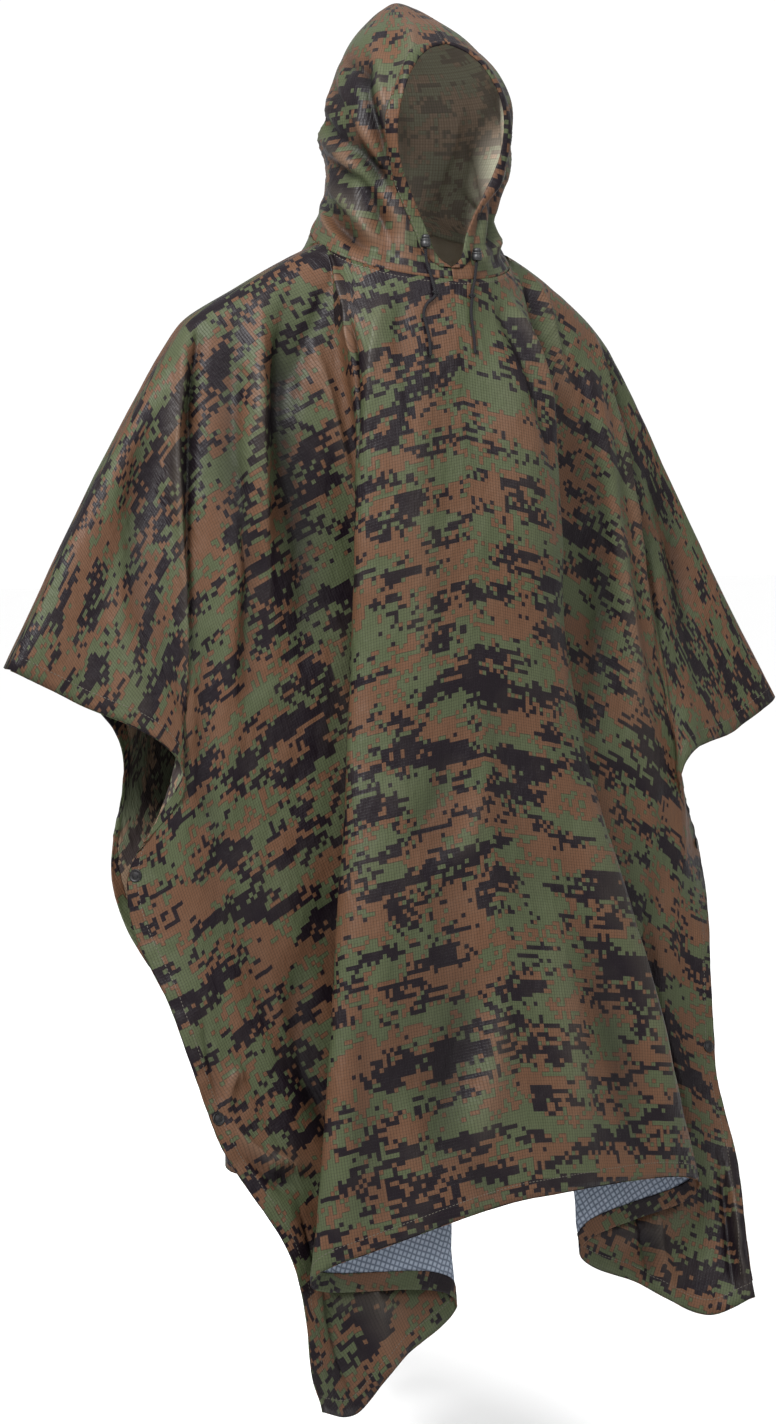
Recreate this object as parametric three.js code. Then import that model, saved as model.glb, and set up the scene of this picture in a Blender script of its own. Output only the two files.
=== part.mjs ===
// A hooded rain poncho of coated rip-stop nylon, hollow and filled out as it hangs on a wearer.
// Millimetres. +Z is up, the front faces -Y, and +X is the wearer's left.
// The origin is in the neck opening, just below the neck seam's middle, where the wearer's neck and shoulders
// hold the poncho up.
import * as THREE from "three";

// Driving sizes of the cloth
const CLOTH_WALL = 1.2; // coated cloth, drawn as a wall
const SEAM_GAP = 0.4; // between two pieces at a seam
const NECK_GAP = 2.3; // the hood's ring stands inside the neck hole, whose edge is faceted
const HEM_WALL = 1.0; // turned-in hem, lying inside the panel
const HEM_LIFT = CLOTH_WALL + 0.9; // from the panel's outside to the hem's outer face
const HEM_WIDTH = 20;
const CASING_WALL = 1.2; // drawcord casing round the face
const CASING_STEPS = 1; // columns of the hood that the casing covers
const ARM_LIFT = 35; // the right arm is held higher than the left by twice this
const HEM_DROP = 29; // the right half hangs lower than the left at the hem

// Neck seam: an egg-shaped ring that rises to the back
const NECK = { halfWidth: 125, halfDepth: 98, middleFore: 20, middleUp: 17, rise: 43 };
const RIDGE_RADIUS = 42; // the cloth rounds over a shoulder and an arm
const MAIN_FOLD_NECK_ANGLE = 58; // degrees from the front (or the back) where a main fold leaves the neck

// Hardware
const CORD = { radius: 1.8, sides: 8, step: 5 };
const LOCK = { radius: 6, height: 15, bore: 2.6 };
const KNOT = { radius: 4.6, height: 7.6 };
const SNAP = { radius: 7.5, height: 2.6, seat: 1.05, inset: 0.6 };

// Turns rows of numbers into points with names.
function table(names, rows) {
  return rows.map((row) => Object.fromEntries(names.map((name, i) => [name, row[i]])));
}

// Lines that run down the front of one half, from the top edge to the hem.
// out is the distance from the middle, fore is Y and up is Z; down is the share of the way to the hem.
const DOWN = [0, 0.12, 0.3, 0.42, 0.55, 0.7, 0.85, 1];
const HEM_DRIFT = [0, 0, 0, 0, 2, 8, 38, 22]; // how far the sides swing to the wearer's left, by row
const PLACE = ["out", "fore", "up"];
const FRONT_LINES = {
  middle: table(PLACE, [
    [0, -78, -26],
    [0, -95, -120],
    [0, -122, -300],
    [0, -134, -435],
    [0, -154, -575],
    [0, -188, -735],
    [0, -228, -905],
    [0, -268, -1058.5],
  ]),
  mainFold: table(PLACE, [
    [106, -32, -6],
    [127, -82, -135],
    [139, -98, -322],
    [145, -101, -462],
    [163, -121, -600],
    [194, -152, -760],
    [226, -188, -930],
    [261, -218, -1100],
  ]),
  innerFold: table(PLACE, [
    [125, 20, 17],
    [128, -38, -130],
    [96, -58, -338],
    [84, -62, -482],
    [80, -84, -625],
    [80, -118, -785],
    [82, -162, -960],
    [85, -205, -1156],
  ]),
  flank: table(PLACE, [
    [205, 28, -25],
    [223, -30, -148],
    [245, -48, -375],
    [258, -60, -545],
    [262, -80, -690],
    [246, -102, -840],
    [208, -146, -1005],
    [160, -212, -1205],
  ]),
  armFold: table(PLACE, [
    [284, 40, -80],
    [306, -5, -210],
    [322, -42, -468],
    [344, -64, -655],
    [322, -86, -790],
    [298, -110, -905],
    [268, -160, -1055],
    [240, -240, -1248],
  ]),
  sideEdge: table(PLACE, [
    [526, -11, -497],
    [455, -36, -534],
    [340, -70, -597],
    [394, -34, -715],
    [366, -94, -850],
    [342, -130, -965],
    [304, -192, -1100],
    [292, -262, -1228],
  ]),
};
const BACK_LINES = {
  middle: table(PLACE, [
    [0, 118, 60],
    [0, 160, -75],
    [0, 182, -260],
    [0, 181, -400],
    [0, 178, -545],
    [0, 180, -700],
    [0, 186, -870],
    [0, 195, -1030],
  ]),
  mainFold: table(PLACE, [
    [106, 72, 40],
    [112, 146, -88],
    [150, 158, -268],
    [160, 156, -412],
    [170, 155, -560],
    [178, 158, -712],
    [184, 163, -879],
    [190, 170, -1040],
  ]),
  innerFold: table(PLACE, [
    [125, 20, 17],
    [170, 112, -98],
    [140, 112, -282],
    [115, 106, -425],
    [95, 108, -570],
    [80, 112, -720],
    [74, 116, -884],
    [72, 120, -1045],
  ]),
  flank: table(PLACE, [
    [205, 28, -25],
    [228, 78, -128],
    [238, 94, -332],
    [245, 92, -480],
    [245, 92, -625],
    [240, 95, -755],
    [236, 100, -908],
    [232, 106, -1060],
  ]),
  armFold: table(PLACE, [
    [284, 40, -80],
    [305, 60, -200],
    [322, 52, -455],
    [330, 44, -622],
    [288, 14, -738],
    [222, 34, -830],
    [160, 45, -950],
    [135, 52, -1072],
  ]),
  sideEdge: table(PLACE, [
    [526, -11, -497],
    [450, 18, -518],
    [374, 34, -576],
    [400, -6, -724],
    [358, -78, -842],
    [315, -104, -955],
    [262, -44, -1035],
    [215, 0, -1085],
  ]),
};

// How tightly the cloth bends round each line, as a radius; 0 is a smooth pass.
const LINE_NAMES = ["middle", "mainFold", "innerFold", "flank", "armFold", "sideEdge"];
const FRONT_BENDS = [0, 11, 10, 0, 22, 0];
const BACK_BENDS = [0, 18, 16, 22, 20, 0];
const STEPS_ACROSS = [5, 5, 5, 3, 3]; // between one line and the next
const STEPS_DOWN = [4, 4, 3, 3, 3, 3, 3]; // between one row of the tables and the next

// Soft ridges and troughs on the body; each runs from one point to another on one half of a panel.
// across and down count table columns and rows; height is outwards, and a trough is negative.
const FOLD = ["across", "down", "acrossEnd", "downEnd", "halfWidth", "height"];
const FRONT_FOLDS = table(FOLD, [
  [0.55, 0.6, 0.4, 3.4, 30, 7],
  [0.2, 3.6, 0.5, 7, 34, -9],
  [0.62, 4.2, 0.78, 7, 24, 8],
  [3.1, 0.8, 3.3, 3.9, 26, 8],
  [3.4, 3.6, 3.0, 6.4, 26, -8],
  [4.3, 0.2, 4.6, 1.8, 24, -7],
  [2.6, 0.5, 2.9, 2.6, 18, -7],
]);
const BACK_FOLDS = table(FOLD, [
  [0.4, 1.2, 0.3, 7, 30, 9],
  [0.75, 0.8, 0.7, 4.5, 22, -8],
  [3.5, 0.5, 3.3, 3.6, 24, 8],
  [4.4, 0.3, 4.6, 1.7, 22, -7],
  [2.3, 0.8, 2.4, 3.2, 20, -7],
]);

// Hood rings from the neck up: the egg's half width and half depth, the Y of its middle,
// and the half width of the face opening at that height.
const HOOD_RINGS = table(
  ["up", "halfWidth", "halfDepth", "middleFore", "faceHalf"],
  [
    [17, 125, 98, 20, 0],
    [27.5, 118, 98, 24, 0],
    [32.7, 114, 97, 26, 12],
    [50.3, 107, 95, 28, 27],
    [75.4, 104, 96, 23, 48],
    [106, 107, 100, 12, 64],
    [148, 111, 105, 5, 71],
    [182, 109, 104, 5, 64],
    [206, 101, 98, 8, 52],
    [226, 91, 91, 13, 36],
    [237, 83, 85, 17, 19],
    [243, 79, 82, 20, 0],
    [262, 64, 69, 29, 0],
    [281, 44, 48, 40, 0],
    [299, 21, 24, 50, 0],
    [309, 0, 0, 56, 0],
  ],
);
const HOOD_STEPS_ROUND = 17; // round one half
const HOOD_TILT_GONE = 90; // height where the rings are level
// Folds of the hood, drawn from the cord lock over the cheek: angle is degrees from the front.
const HOOD_FOLDS = table(
  ["angle", "up", "angleEnd", "upEnd", "halfWidth", "height"],
  [
    [28, 28, 62, 235, 15, 7],
    [38, 22, 84, 205, 14, -6],
    [44, 30, 104, 185, 15, 7],
    [52, 20, 128, 120, 14, -6],
    [60, 18, 118, 66, 13, 6],
  ],
);

// Colours of the real materials
const CLOTH_COLOUR = 0x6b6044;
const HEM_COLOUR = 0x5d523b;
const BLACK = 0x17171a;
const METAL = 0x8b8d90;

function vector(place) {
  return new THREE.Vector3(place.out, place.fore, place.up);
}

function smooth(x) {
  const t = Math.min(1, Math.max(0, x));
  return t * t * (3 - 2 * t);
}

// A point of a curve through given points. The tangent halves each corner, and its length
// makes a bend of the wanted radius there. first and last are tangents at the two ends.
function curvePoint(points, bends, index, t, first, last) {
  const a = points[index];
  const b = points[index + 1];
  const chord = b.clone().sub(a);
  const length = chord.length();
  if (length < 1e-6) return a.clone();
  const start = endTangent(points, index, first, last);
  const end = endTangent(points, index + 1, first, last);
  start.multiplyScalar(tangentLength(start, chord, length, bends[index]));
  end.multiplyScalar(tangentLength(end, chord, length, bends[index + 1]));
  const t2 = t * t;
  const t3 = t2 * t;
  return a
    .clone()
    .multiplyScalar(2 * t3 - 3 * t2 + 1)
    .addScaledVector(start, t3 - 2 * t2 + t)
    .addScaledVector(b, 3 * t2 - 2 * t3)
    .addScaledVector(end, t3 - t2);
}

function endTangent(points, index, first, last) {
  if (index === 0 && first) return first.clone().normalize();
  if (index === points.length - 1 && last) return last.clone().normalize();
  const before = points[Math.max(0, index - 1)];
  const here = points[index];
  const after = points[Math.min(points.length - 1, index + 1)];
  const arriving = here.clone().sub(before);
  const leaving = after.clone().sub(here);
  if (arriving.length() > 0) arriving.normalize();
  if (leaving.length() > 0) leaving.normalize();
  return arriving.add(leaving).normalize();
}

function tangentLength(tangent, chord, length, bend) {
  if (!bend) return length;
  const turn = Math.sqrt(Math.max(0, 1 - (tangent.dot(chord) / length) ** 2));
  return Math.min(length, Math.sqrt(6 * length * bend * turn));
}

// The neck seam at an angle in degrees from the front
function neckPoint(angle) {
  const radians = THREE.MathUtils.degToRad(angle);
  return new THREE.Vector3(
    NECK.halfWidth * Math.sin(radians),
    NECK.middleFore - NECK.halfDepth * Math.cos(radians),
    NECK.middleUp - NECK.rise * Math.cos(radians),
  );
}

// One panel is a set of lines with its bends, its folds and the way it faces.
const FRONT = { lines: FRONT_LINES, bends: FRONT_BENDS, folds: FRONT_FOLDS, facing: -1 };
const BACK = { lines: BACK_LINES, bends: BACK_BENDS, folds: BACK_FOLDS, facing: 1 };

// The top edge: round the neck to its side, then along the shoulder and the arm
function topEdge(panel, index, t) {
  const angles = [0, MAIN_FOLD_NECK_ANGLE, 90];
  if (index < 2) {
    const turn = THREE.MathUtils.lerp(angles[index], angles[index + 1], t);
    return neckPoint(panel.facing < 0 ? turn : 180 - turn);
  }
  const ridge = LINE_NAMES.slice(2).map((name) => vector(FRONT_LINES[name][0]));
  const point = curvePoint(ridge, [0, 0, 30, 0], index - 2, t);
  point.y += (panel.facing * SEAM_GAP) / 2;
  return point;
}

// A point of one line, part of the way down
function linePoint(panel, name, row, t) {
  const places = panel.lines[name].map(vector);
  const onRidge = LINE_NAMES.indexOf(name) >= 2;
  const over = onRidge ? new THREE.Vector3(0, panel.facing, 0) : null;
  const bends = places.map((_, i) => (i === 0 && onRidge ? RIDGE_RADIUS : 0));
  return curvePoint(places, bends, row, t, over, null);
}

// A point of the half panel on the wearer's left, before its folds
function halfPoint(panel, column, t, row, s) {
  const keys = LINE_NAMES.map((name) => linePoint(panel, name, row, s));
  const point = curvePoint(keys, panel.bends, column, t, new THREE.Vector3(1, 0, 0), null);
  const down = DOWN[row] + (DOWN[row + 1] - DOWN[row]) * s;
  const fade = 1 - smooth(down / DOWN[1]);
  if (fade > 0) {
    const tops = LINE_NAMES.map((name) => linePoint(panel, name, 0, 0));
    const top = curvePoint(tops, panel.bends, column, t, new THREE.Vector3(1, 0, 0), null);
    point.addScaledVector(topEdge(panel, column, t).sub(top), fade);
  }
  return point;
}

// How far the sides have swung to the wearer's left at a place down the tables
function drift(row, s) {
  return THREE.MathUtils.lerp(HEM_DRIFT[row], HEM_DRIFT[row + 1], smooth(s));
}

// The right arm is a little higher than the left, and the right half of the skirt hangs lower.
function pose(point, side, across, row, s) {
  const down = DOWN[row] + (DOWN[row + 1] - DOWN[row]) * s;
  point.x *= side;
  const armShare = smooth((Math.abs(point.x) - 220) / 250);
  const armEnd = 1 - smooth((down - DOWN[2]) / 0.2);
  point.z -= side * ARM_LIFT * armShare * armEnd;
  point.x += drift(row, s) * smooth((across - 1) / 1.6);
  if (side < 0) point.z -= HEM_DROP * smooth(across * 1.4) * smooth((down - 0.6) / 0.4);
  return point;
}

// Sample places: [index, share] pairs, closer together at both ends of a stretch.
// The last stretch also has a place where its hem starts.
function samples(steps, hemShare) {
  const places = [];
  const last = steps.length - 1;
  steps.forEach((count, index) => {
    for (let i = 0; i < count; i++) {
      const share = 0.5 - 0.5 * Math.cos((Math.PI * i) / count);
      if (index < last || share < hemShare - 0.05) places.push([index, share]);
    }
  });
  places.push([last, hemShare], [last, 1]);
  return places;
}

const HEM_SHARE_DOWN = 1 - HEM_WIDTH / 165; // of the last row of the tables
const HEM_SHARE_ACROSS = 1 - HEM_WIDTH / 90; // of the last column of the tables
const ACROSS = samples(STEPS_ACROSS, HEM_SHARE_ACROSS);
const ROWS = samples(STEPS_DOWN, HEM_SHARE_DOWN);

const COLUMN_WIDTH = 110; // usual distance between two lines of the tables
const ROW_HEIGHT = 150; // usual distance between two rows of the tables

// The height of a fold at a place of the panel
function foldHeight(fold, column, row) {
  const ax = (fold.acrossEnd - fold.across) * COLUMN_WIDTH;
  const ay = (fold.downEnd - fold.down) * ROW_HEIGHT;
  const px = (column - fold.across) * COLUMN_WIDTH;
  const py = (row - fold.down) * ROW_HEIGHT;
  const along = Math.min(1, Math.max(0, (px * ax + py * ay) / (ax * ax + ay * ay)));
  const away = Math.hypot(px - ax * along, py - ay * along);
  const profile = Math.exp(-((away / fold.halfWidth) ** 2) * 1.4);
  return fold.height * profile * (0.25 + 0.75 * Math.sin(Math.PI * Math.min(1, along * 0.9 + 0.08)));
}

// The whole panel, from the right side edge to the left, as a grid of points with normals
function panelGrid(panel) {
  const sides = [];
  for (let i = ACROSS.length - 1; i > 0; i--) sides.push([-1, ACROSS[i]]);
  ACROSS.forEach((place) => sides.push([1, place]));
  const points = ROWS.map(([row, s]) =>
    sides.map(([side, [column, t]]) => pose(halfPoint(panel, column, t, row, s), side, column + t, row, s)),
  );
  const flat = normals(points, panel.facing < 0);
  points.forEach((line, j) =>
    line.forEach((point, i) => {
      const [, [column, t]] = sides[i];
      const [row, s] = ROWS[j];
      const calm = smooth(row + s) * smooth((STEPS_DOWN.length - row - s) * 2 + 0.4);
      const height = panel.folds.reduce((sum, fold) => sum + foldHeight(fold, column + t, row + s), 0);
      point.addScaledVector(flat[j][i], height * calm);
    }),
  );
  const out = normals(points, panel.facing < 0);
  out[0] = out[0].map((n) => new THREE.Vector3(n.x, 0, Math.max(0.3, n.z)).normalize());
  return { points, normals: out };
}

// Outward normals of a grid by its neighbours
function normals(points, flip) {
  const last = points.length - 1;
  return points.map((line, j) =>
    line.map((_, i) => {
      const down = points[Math.min(last, j + 1)][i].clone().sub(points[Math.max(0, j - 1)][i]);
      const along = line[Math.min(line.length - 1, i + 1)].clone().sub(line[Math.max(0, i - 1)]);
      const normal = down.cross(along).normalize();
      return flip ? normal : normal.negate();
    }),
  );
}

// A closed wall: its outer face lies `lift` outside the grid and its inner face `wall` further in.
function wallGeometry(grid, wall, lift, flip) {
  const rows = grid.points.length;
  const columns = grid.points[0].length;
  const positions = [];
  const numbers = new Map();
  const numberOf = (point) => {
    const key = [point.x, point.y, point.z].map((value) => Math.round(value * 1000)).join(" ");
    if (!numbers.has(key)) {
      numbers.set(key, positions.length / 3);
      positions.push(point.x, point.y, point.z);
    }
    return numbers.get(key);
  };
  const layer = (offset) =>
    grid.points.map((line, j) =>
      line.map((point, i) => numberOf(point.clone().addScaledVector(grid.normals[j][i], offset))),
    );
  const outer = layer(lift);
  const inner = layer(lift - wall);
  const triangles = [];
  const triangle = (a, b, c) => {
    if (a === b || b === c || c === a) return;
    triangles.push(...(flip ? [a, c, b] : [a, b, c]));
  };
  const quad = (a, b, c, d) => {
    triangle(a, b, c);
    triangle(a, c, d);
  };
  for (let j = 0; j + 1 < rows; j++)
    for (let i = 0; i + 1 < columns; i++) {
      quad(outer[j][i], outer[j + 1][i], outer[j + 1][i + 1], outer[j][i + 1]);
      quad(inner[j][i], inner[j][i + 1], inner[j + 1][i + 1], inner[j + 1][i]);
    }
  for (let i = 0; i + 1 < columns; i++) {
    quad(outer[0][i], outer[0][i + 1], inner[0][i + 1], inner[0][i]);
    quad(outer[rows - 1][i + 1], outer[rows - 1][i], inner[rows - 1][i], inner[rows - 1][i + 1]);
  }
  for (let j = 0; j + 1 < rows; j++) {
    quad(outer[j + 1][0], outer[j][0], inner[j][0], inner[j + 1][0]);
    quad(outer[j][columns - 1], outer[j + 1][columns - 1], inner[j + 1][columns - 1], inner[j][columns - 1]);
  }
  const geometry = new THREE.BufferGeometry();
  geometry.setAttribute("position", new THREE.Float32BufferAttribute(positions, 3));
  geometry.setIndex(triangles);
  geometry.computeVertexNormals();
  return geometry;
}

// Part of a grid, by rows and columns
function part(grid, rowStart, rowEnd, columnStart, columnEnd) {
  const cut = (lines) =>
    lines.slice(rowStart, rowEnd + 1).map((line) => line.slice(columnStart, columnEnd + 1));
  return { points: cut(grid.points), normals: cut(grid.normals) };
}

function material(colour, roughness, metalness) {
  return new THREE.MeshStandardMaterial({ color: colour, roughness, metalness, side: THREE.DoubleSide });
}

const root = new THREE.Group();

function add(name, geometry, finish, place, direction) {
  const mesh = new THREE.Mesh(geometry, finish);
  mesh.name = name;
  if (place) mesh.position.copy(place);
  if (direction) mesh.quaternion.setFromUnitVectors(new THREE.Vector3(0, 0, 1), direction);
  root.add(mesh);
  return mesh;
}

const cloth = () => material(CLOTH_COLOUR, 0.45, 0);
const hemCloth = () => material(HEM_COLOUR, 0.5, 0);

// Front and back panels with their turned hems
const grids = { front: panelGrid(FRONT), back: panelGrid(BACK) };
for (const [name, grid] of Object.entries(grids)) {
  const front = name === "front";
  const lastRow = grid.points.length - 1;
  const lastColumn = grid.points[0].length - 1;
  add(`${name}_panel`, wallGeometry(grid, CLOTH_WALL, 0, !front), cloth());
  const hem = part(grid, lastRow - 1, lastRow, 0, lastColumn);
  add(`${name}_hem`, wallGeometry(hem, HEM_WALL, -HEM_LIFT, !front), hemCloth());
  const right = part(grid, 1, lastRow - 2, 0, 1);
  add(`${name}_side_hem_right`, wallGeometry(right, HEM_WALL, -HEM_LIFT, !front), hemCloth());
  const left = part(grid, 1, lastRow - 2, lastColumn - 1, lastColumn);
  add(`${name}_side_hem_left`, wallGeometry(left, HEM_WALL, -HEM_LIFT, !front), hemCloth());
}

// One half of the hood: rings that open round the face
function hoodGrid(side) {
  const rings = hoodRings();
  const angles = rings.map((ring) => {
    const open = ring.halfWidth > 0 ? Math.asin(Math.min(1, ring.faceHalf / ring.halfWidth)) : 0;
    const places = Array.from({ length: HOOD_STEPS_ROUND + 1 }, (_, i) => i / HOOD_STEPS_ROUND);
    return places.map((share) => open + (Math.PI - open) * share);
  });
  const points = rings.map((ring, j) =>
    angles[j].map((angle) => {
      const tilt = NECK.rise * (1 - smooth((ring.up - NECK.middleUp) / (HOOD_TILT_GONE - NECK.middleUp)));
      return new THREE.Vector3(
        side * Math.max(SEAM_GAP / 2, ring.halfWidth * Math.sin(angle) - (j === 0 ? NECK_GAP : 0)),
        ring.middleFore - (ring.halfDepth - (j === 0 ? NECK_GAP : 0)) * Math.cos(angle),
        ring.up - tilt * Math.cos(angle),
      );
    }),
  );
  const flat = normals(points, side < 0);
  points.forEach((line, j) =>
    line.forEach((point, i) => {
      const degrees = THREE.MathUtils.radToDeg(angles[j][i]);
      const { up } = rings[j];
      const calm = smooth((up - 21) / 24) * smooth((300 - up) / 60) * smooth((degrees - 4) / 12);
      const height = HOOD_FOLDS.reduce((sum, fold) => sum + hoodFoldHeight(fold, degrees, up), 0);
      point.addScaledVector(flat[j][i], height * calm);
    }),
  );
  const out = normals(points, side < 0);
  out.forEach((line, j) => {
    line.forEach((normal, i) => {
      const onSeam = Math.abs(points[j][i].x) < SEAM_GAP;
      if (onSeam) normal.set(0, normal.y, normal.z).normalize();
      if (j === 0) normal.set(normal.x, normal.y, 0).normalize();
      if (j === rings.length - 1) normal.set(0, 0, 1);
    });
  });
  return { points, normals: out };
}

// Rings between the table's rows, so that the wall bends evenly
function hoodRings() {
  const names = Object.keys(HOOD_RINGS[0]);
  const rings = [];
  HOOD_RINGS.forEach((ring, i) => {
    if (i > 0 && ring.up - HOOD_RINGS[i - 1].up > 18) rings.push(midRing(i, names));
    rings.push(ring);
  });
  return rings;
}

function midRing(i, names) {
  const at = (k) => HOOD_RINGS[Math.min(HOOD_RINGS.length - 1, Math.max(0, k))];
  const between = (name) => (9 * (at(i - 1)[name] + at(i)[name]) - at(i - 2)[name] - at(i + 1)[name]) / 16;
  const mid = Object.fromEntries(names.map((name) => [name, Math.max(0, between(name))]));
  return { ...mid, up: (at(i - 1).up + at(i).up) / 2 };
}

const HOOD_RADIUS = 110; // turns an angle of the hood into a length
function hoodFoldHeight(fold, degrees, up) {
  const toLength = THREE.MathUtils.DEG2RAD * HOOD_RADIUS;
  const ax = (fold.angleEnd - fold.angle) * toLength;
  const ay = fold.upEnd - fold.up;
  const px = (degrees - fold.angle) * toLength;
  const py = up - fold.up;
  const along = Math.min(1, Math.max(0, (px * ax + py * ay) / (ax * ax + ay * ay)));
  const away = Math.hypot(px - ax * along, py - ay * along);
  return fold.height * Math.exp(-((away / fold.halfWidth) ** 2) * 1.4) * (1 - 0.55 * along);
}

const FIRST_OPEN_RING = 1; // the casing starts just below the face opening
for (const [name, side] of [["right", -1], ["left", 1]]) {
  const grid = hoodGrid(side);
  add(`hood_${name}`, wallGeometry(grid, CLOTH_WALL, 0, side > 0), cloth());
  const lastOpen = hoodRings().findIndex((ring) => ring.up > 240);
  const edge = part(grid, FIRST_OPEN_RING, lastOpen, 0, CASING_STEPS);
  add(`hood_casing_${name}`, wallGeometry(edge, CASING_WALL, CASING_WALL + 0.35, side > 0), hemCloth());
}

// Drawcord: locks below the face, a knot on each end, and free tails. Routes in millimetres.
const CORD_ROUTES = {
  right: {
    upper: [[-34, -72.8, 8], [-33, -73.2, -6], [-29.5, -75.6, -20], [-27, -81.6, -38.8]],
    knot: [-26.5, -83, -43],
    lower: [
      [-28, -83.6, -48],
      [-38, -83.4, -56],
      [-43.5, -85.2, -68],
      [-42, -90, -84],
      [-41, -94.2, -98],
      [-42, -98.6, -116],
    ],
  },
  left: {
    upper: [[34, -74.5, -4], [32, -75, -16], [28.5, -78.2, -28], [22.5, -82.8, -40.8]],
    knot: [21.6, -84.5, -45],
    lower: [[21, -85.1, -49.6], [19, -86.8, -63], [18.5, -89.6, -76], [19.5, -92.6, -92], [18.7, -96.4, -111]],
  },
};
const LOCK_PLACES = { right: [-34, -72.8, 16], left: [34, -74.5, 4] };

function cordGeometry(route) {
  const curve = new THREE.CatmullRomCurve3(route.map((p) => new THREE.Vector3(...p)), false, "centripetal");
  const section = new THREE.Shape();
  for (let i = 0; i < CORD.sides; i++) {
    const angle = (2 * Math.PI * i) / CORD.sides;
    const x = CORD.radius * Math.cos(angle);
    const y = CORD.radius * Math.sin(angle);
    if (i === 0) section.moveTo(x, y);
    else section.lineTo(x, y);
  }
  const steps = Math.max(3, Math.round(curve.getLength() / CORD.step));
  return new THREE.ExtrudeGeometry(section, { steps, extrudePath: curve, curveSegments: 1 });
}

// A barrel with a waist and a cord hole along its axis
function lockGeometry() {
  const half = LOCK.height / 2;
  const profile = [
    [LOCK.bore, -half],
    [LOCK.radius * 0.8, -half],
    [LOCK.radius, -half * 0.7],
    [LOCK.radius, half * 0.25],
    [LOCK.radius * 0.86, half * 0.4],
    [LOCK.radius * 0.86, half * 0.55],
    [LOCK.radius * 0.95, half * 0.7],
    [LOCK.radius * 0.7, half],
    [LOCK.bore, half],
    [LOCK.bore, -half],
  ];
  const turned = new THREE.LatheGeometry(profile.map(([x, y]) => new THREE.Vector2(x, y)), 14);
  return turned.rotateX(Math.PI / 2);
}

function knotGeometry() {
  const ball = new THREE.SphereGeometry(KNOT.radius, 10, 8);
  ball.rotateX(Math.PI / 2);
  ball.scale(1, 0.85, KNOT.height / (2 * KNOT.radius));
  return ball;
}

for (const [name, route] of Object.entries(CORD_ROUTES)) {
  const black = material(BLACK, 0.6, 0);
  add(`cord_lock_${name}`, lockGeometry(), black, new THREE.Vector3(...LOCK_PLACES[name]));
  add(`cord_upper_${name}`, cordGeometry(route.upper), material(BLACK, 0.9, 0));
  add(`cord_knot_${name}`, knotGeometry(), material(BLACK, 0.9, 0), new THREE.Vector3(...route.knot));
  add(`cord_lower_${name}`, cordGeometry(route.lower), material(BLACK, 0.9, 0));
}

// Snap caps along the side edges, each on the front panel's outside
function snapGeometry() {
  const profile = [
    [0, 0],
    [SNAP.radius, 0],
    [SNAP.radius, SNAP.height * 0.3],
    [SNAP.radius * 0.86, SNAP.height * 0.7],
    [SNAP.radius * 0.45, SNAP.height],
    [0, SNAP.height],
  ];
  return new THREE.LatheGeometry(profile.map(([x, y]) => new THREE.Vector2(x, y)), 14).rotateX(Math.PI / 2);
}

const SNAP_ROWS = { upper: DOWN.indexOf(0.42), lower: DOWN.indexOf(0.7) };
for (const [level, tableRow] of Object.entries(SNAP_ROWS)) {
  const row = ROWS.findIndex(([index, share]) => index === tableRow && share === 0);
  const { points, normals: out } = grids.front;
  const last = points[row].length - 1;
  for (const [name, edge, inside] of [["right", 0, 1], ["left", last, last - 1]]) {
    const normal = out[row][inside].clone();
    const middle = points[row][edge].clone().lerp(points[row][inside], SNAP.inset);
    middle.addScaledVector(normal, SNAP.seat);
    add(`snap_${level}_${name}`, snapGeometry(), material(METAL, 0.35, 0.9), middle, normal);
  }
}

export default root;
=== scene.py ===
# %% [markdown]
# # A hooded rain poncho of rip-stop nylon
#
# The poncho is one long sheet of thin coated nylon with a hole for the neck, a hood of two halves, turned
# hems, a drawcord round the face and snaps down the sides. The solids already hold its size and its hollow
# form. This lesson dresses them: thin cloth with hems and creases, a printed pixel pattern that turns with
# the cloth, sewing threads, a cord with its locks and knots, and snap caps. The scene is in metres. Tables of
# lines, folds, sections and profiles are in millimetres, as a maker would measure them.

# %% Load the solids and keep their box
import math

import bmesh
import bpy
import numpy as np
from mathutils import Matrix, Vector, noise


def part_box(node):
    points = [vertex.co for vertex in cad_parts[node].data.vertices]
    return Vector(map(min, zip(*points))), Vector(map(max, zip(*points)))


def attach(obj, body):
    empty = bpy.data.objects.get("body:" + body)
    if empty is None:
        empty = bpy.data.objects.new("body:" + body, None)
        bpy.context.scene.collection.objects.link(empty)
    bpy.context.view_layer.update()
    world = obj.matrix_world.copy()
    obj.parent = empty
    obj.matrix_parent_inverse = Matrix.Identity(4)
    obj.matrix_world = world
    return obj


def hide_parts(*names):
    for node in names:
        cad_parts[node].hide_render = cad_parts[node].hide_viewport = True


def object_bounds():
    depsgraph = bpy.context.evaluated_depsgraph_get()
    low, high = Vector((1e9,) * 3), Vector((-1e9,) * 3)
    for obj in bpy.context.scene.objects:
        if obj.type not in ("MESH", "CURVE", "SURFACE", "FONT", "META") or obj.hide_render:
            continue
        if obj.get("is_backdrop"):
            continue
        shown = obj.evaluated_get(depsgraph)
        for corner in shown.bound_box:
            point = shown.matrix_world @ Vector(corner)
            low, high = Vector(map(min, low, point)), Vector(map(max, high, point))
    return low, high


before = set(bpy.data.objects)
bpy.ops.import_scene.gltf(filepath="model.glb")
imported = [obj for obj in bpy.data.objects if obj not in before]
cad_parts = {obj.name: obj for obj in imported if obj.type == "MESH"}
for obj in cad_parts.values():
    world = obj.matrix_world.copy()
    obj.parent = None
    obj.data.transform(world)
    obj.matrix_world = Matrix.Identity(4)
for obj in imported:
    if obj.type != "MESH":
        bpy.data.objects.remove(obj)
solid_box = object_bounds()
MM = 0.001
print("solids:", len(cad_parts), "box:", [tuple(round(x, 3) for x in corner) for corner in solid_box])

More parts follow.
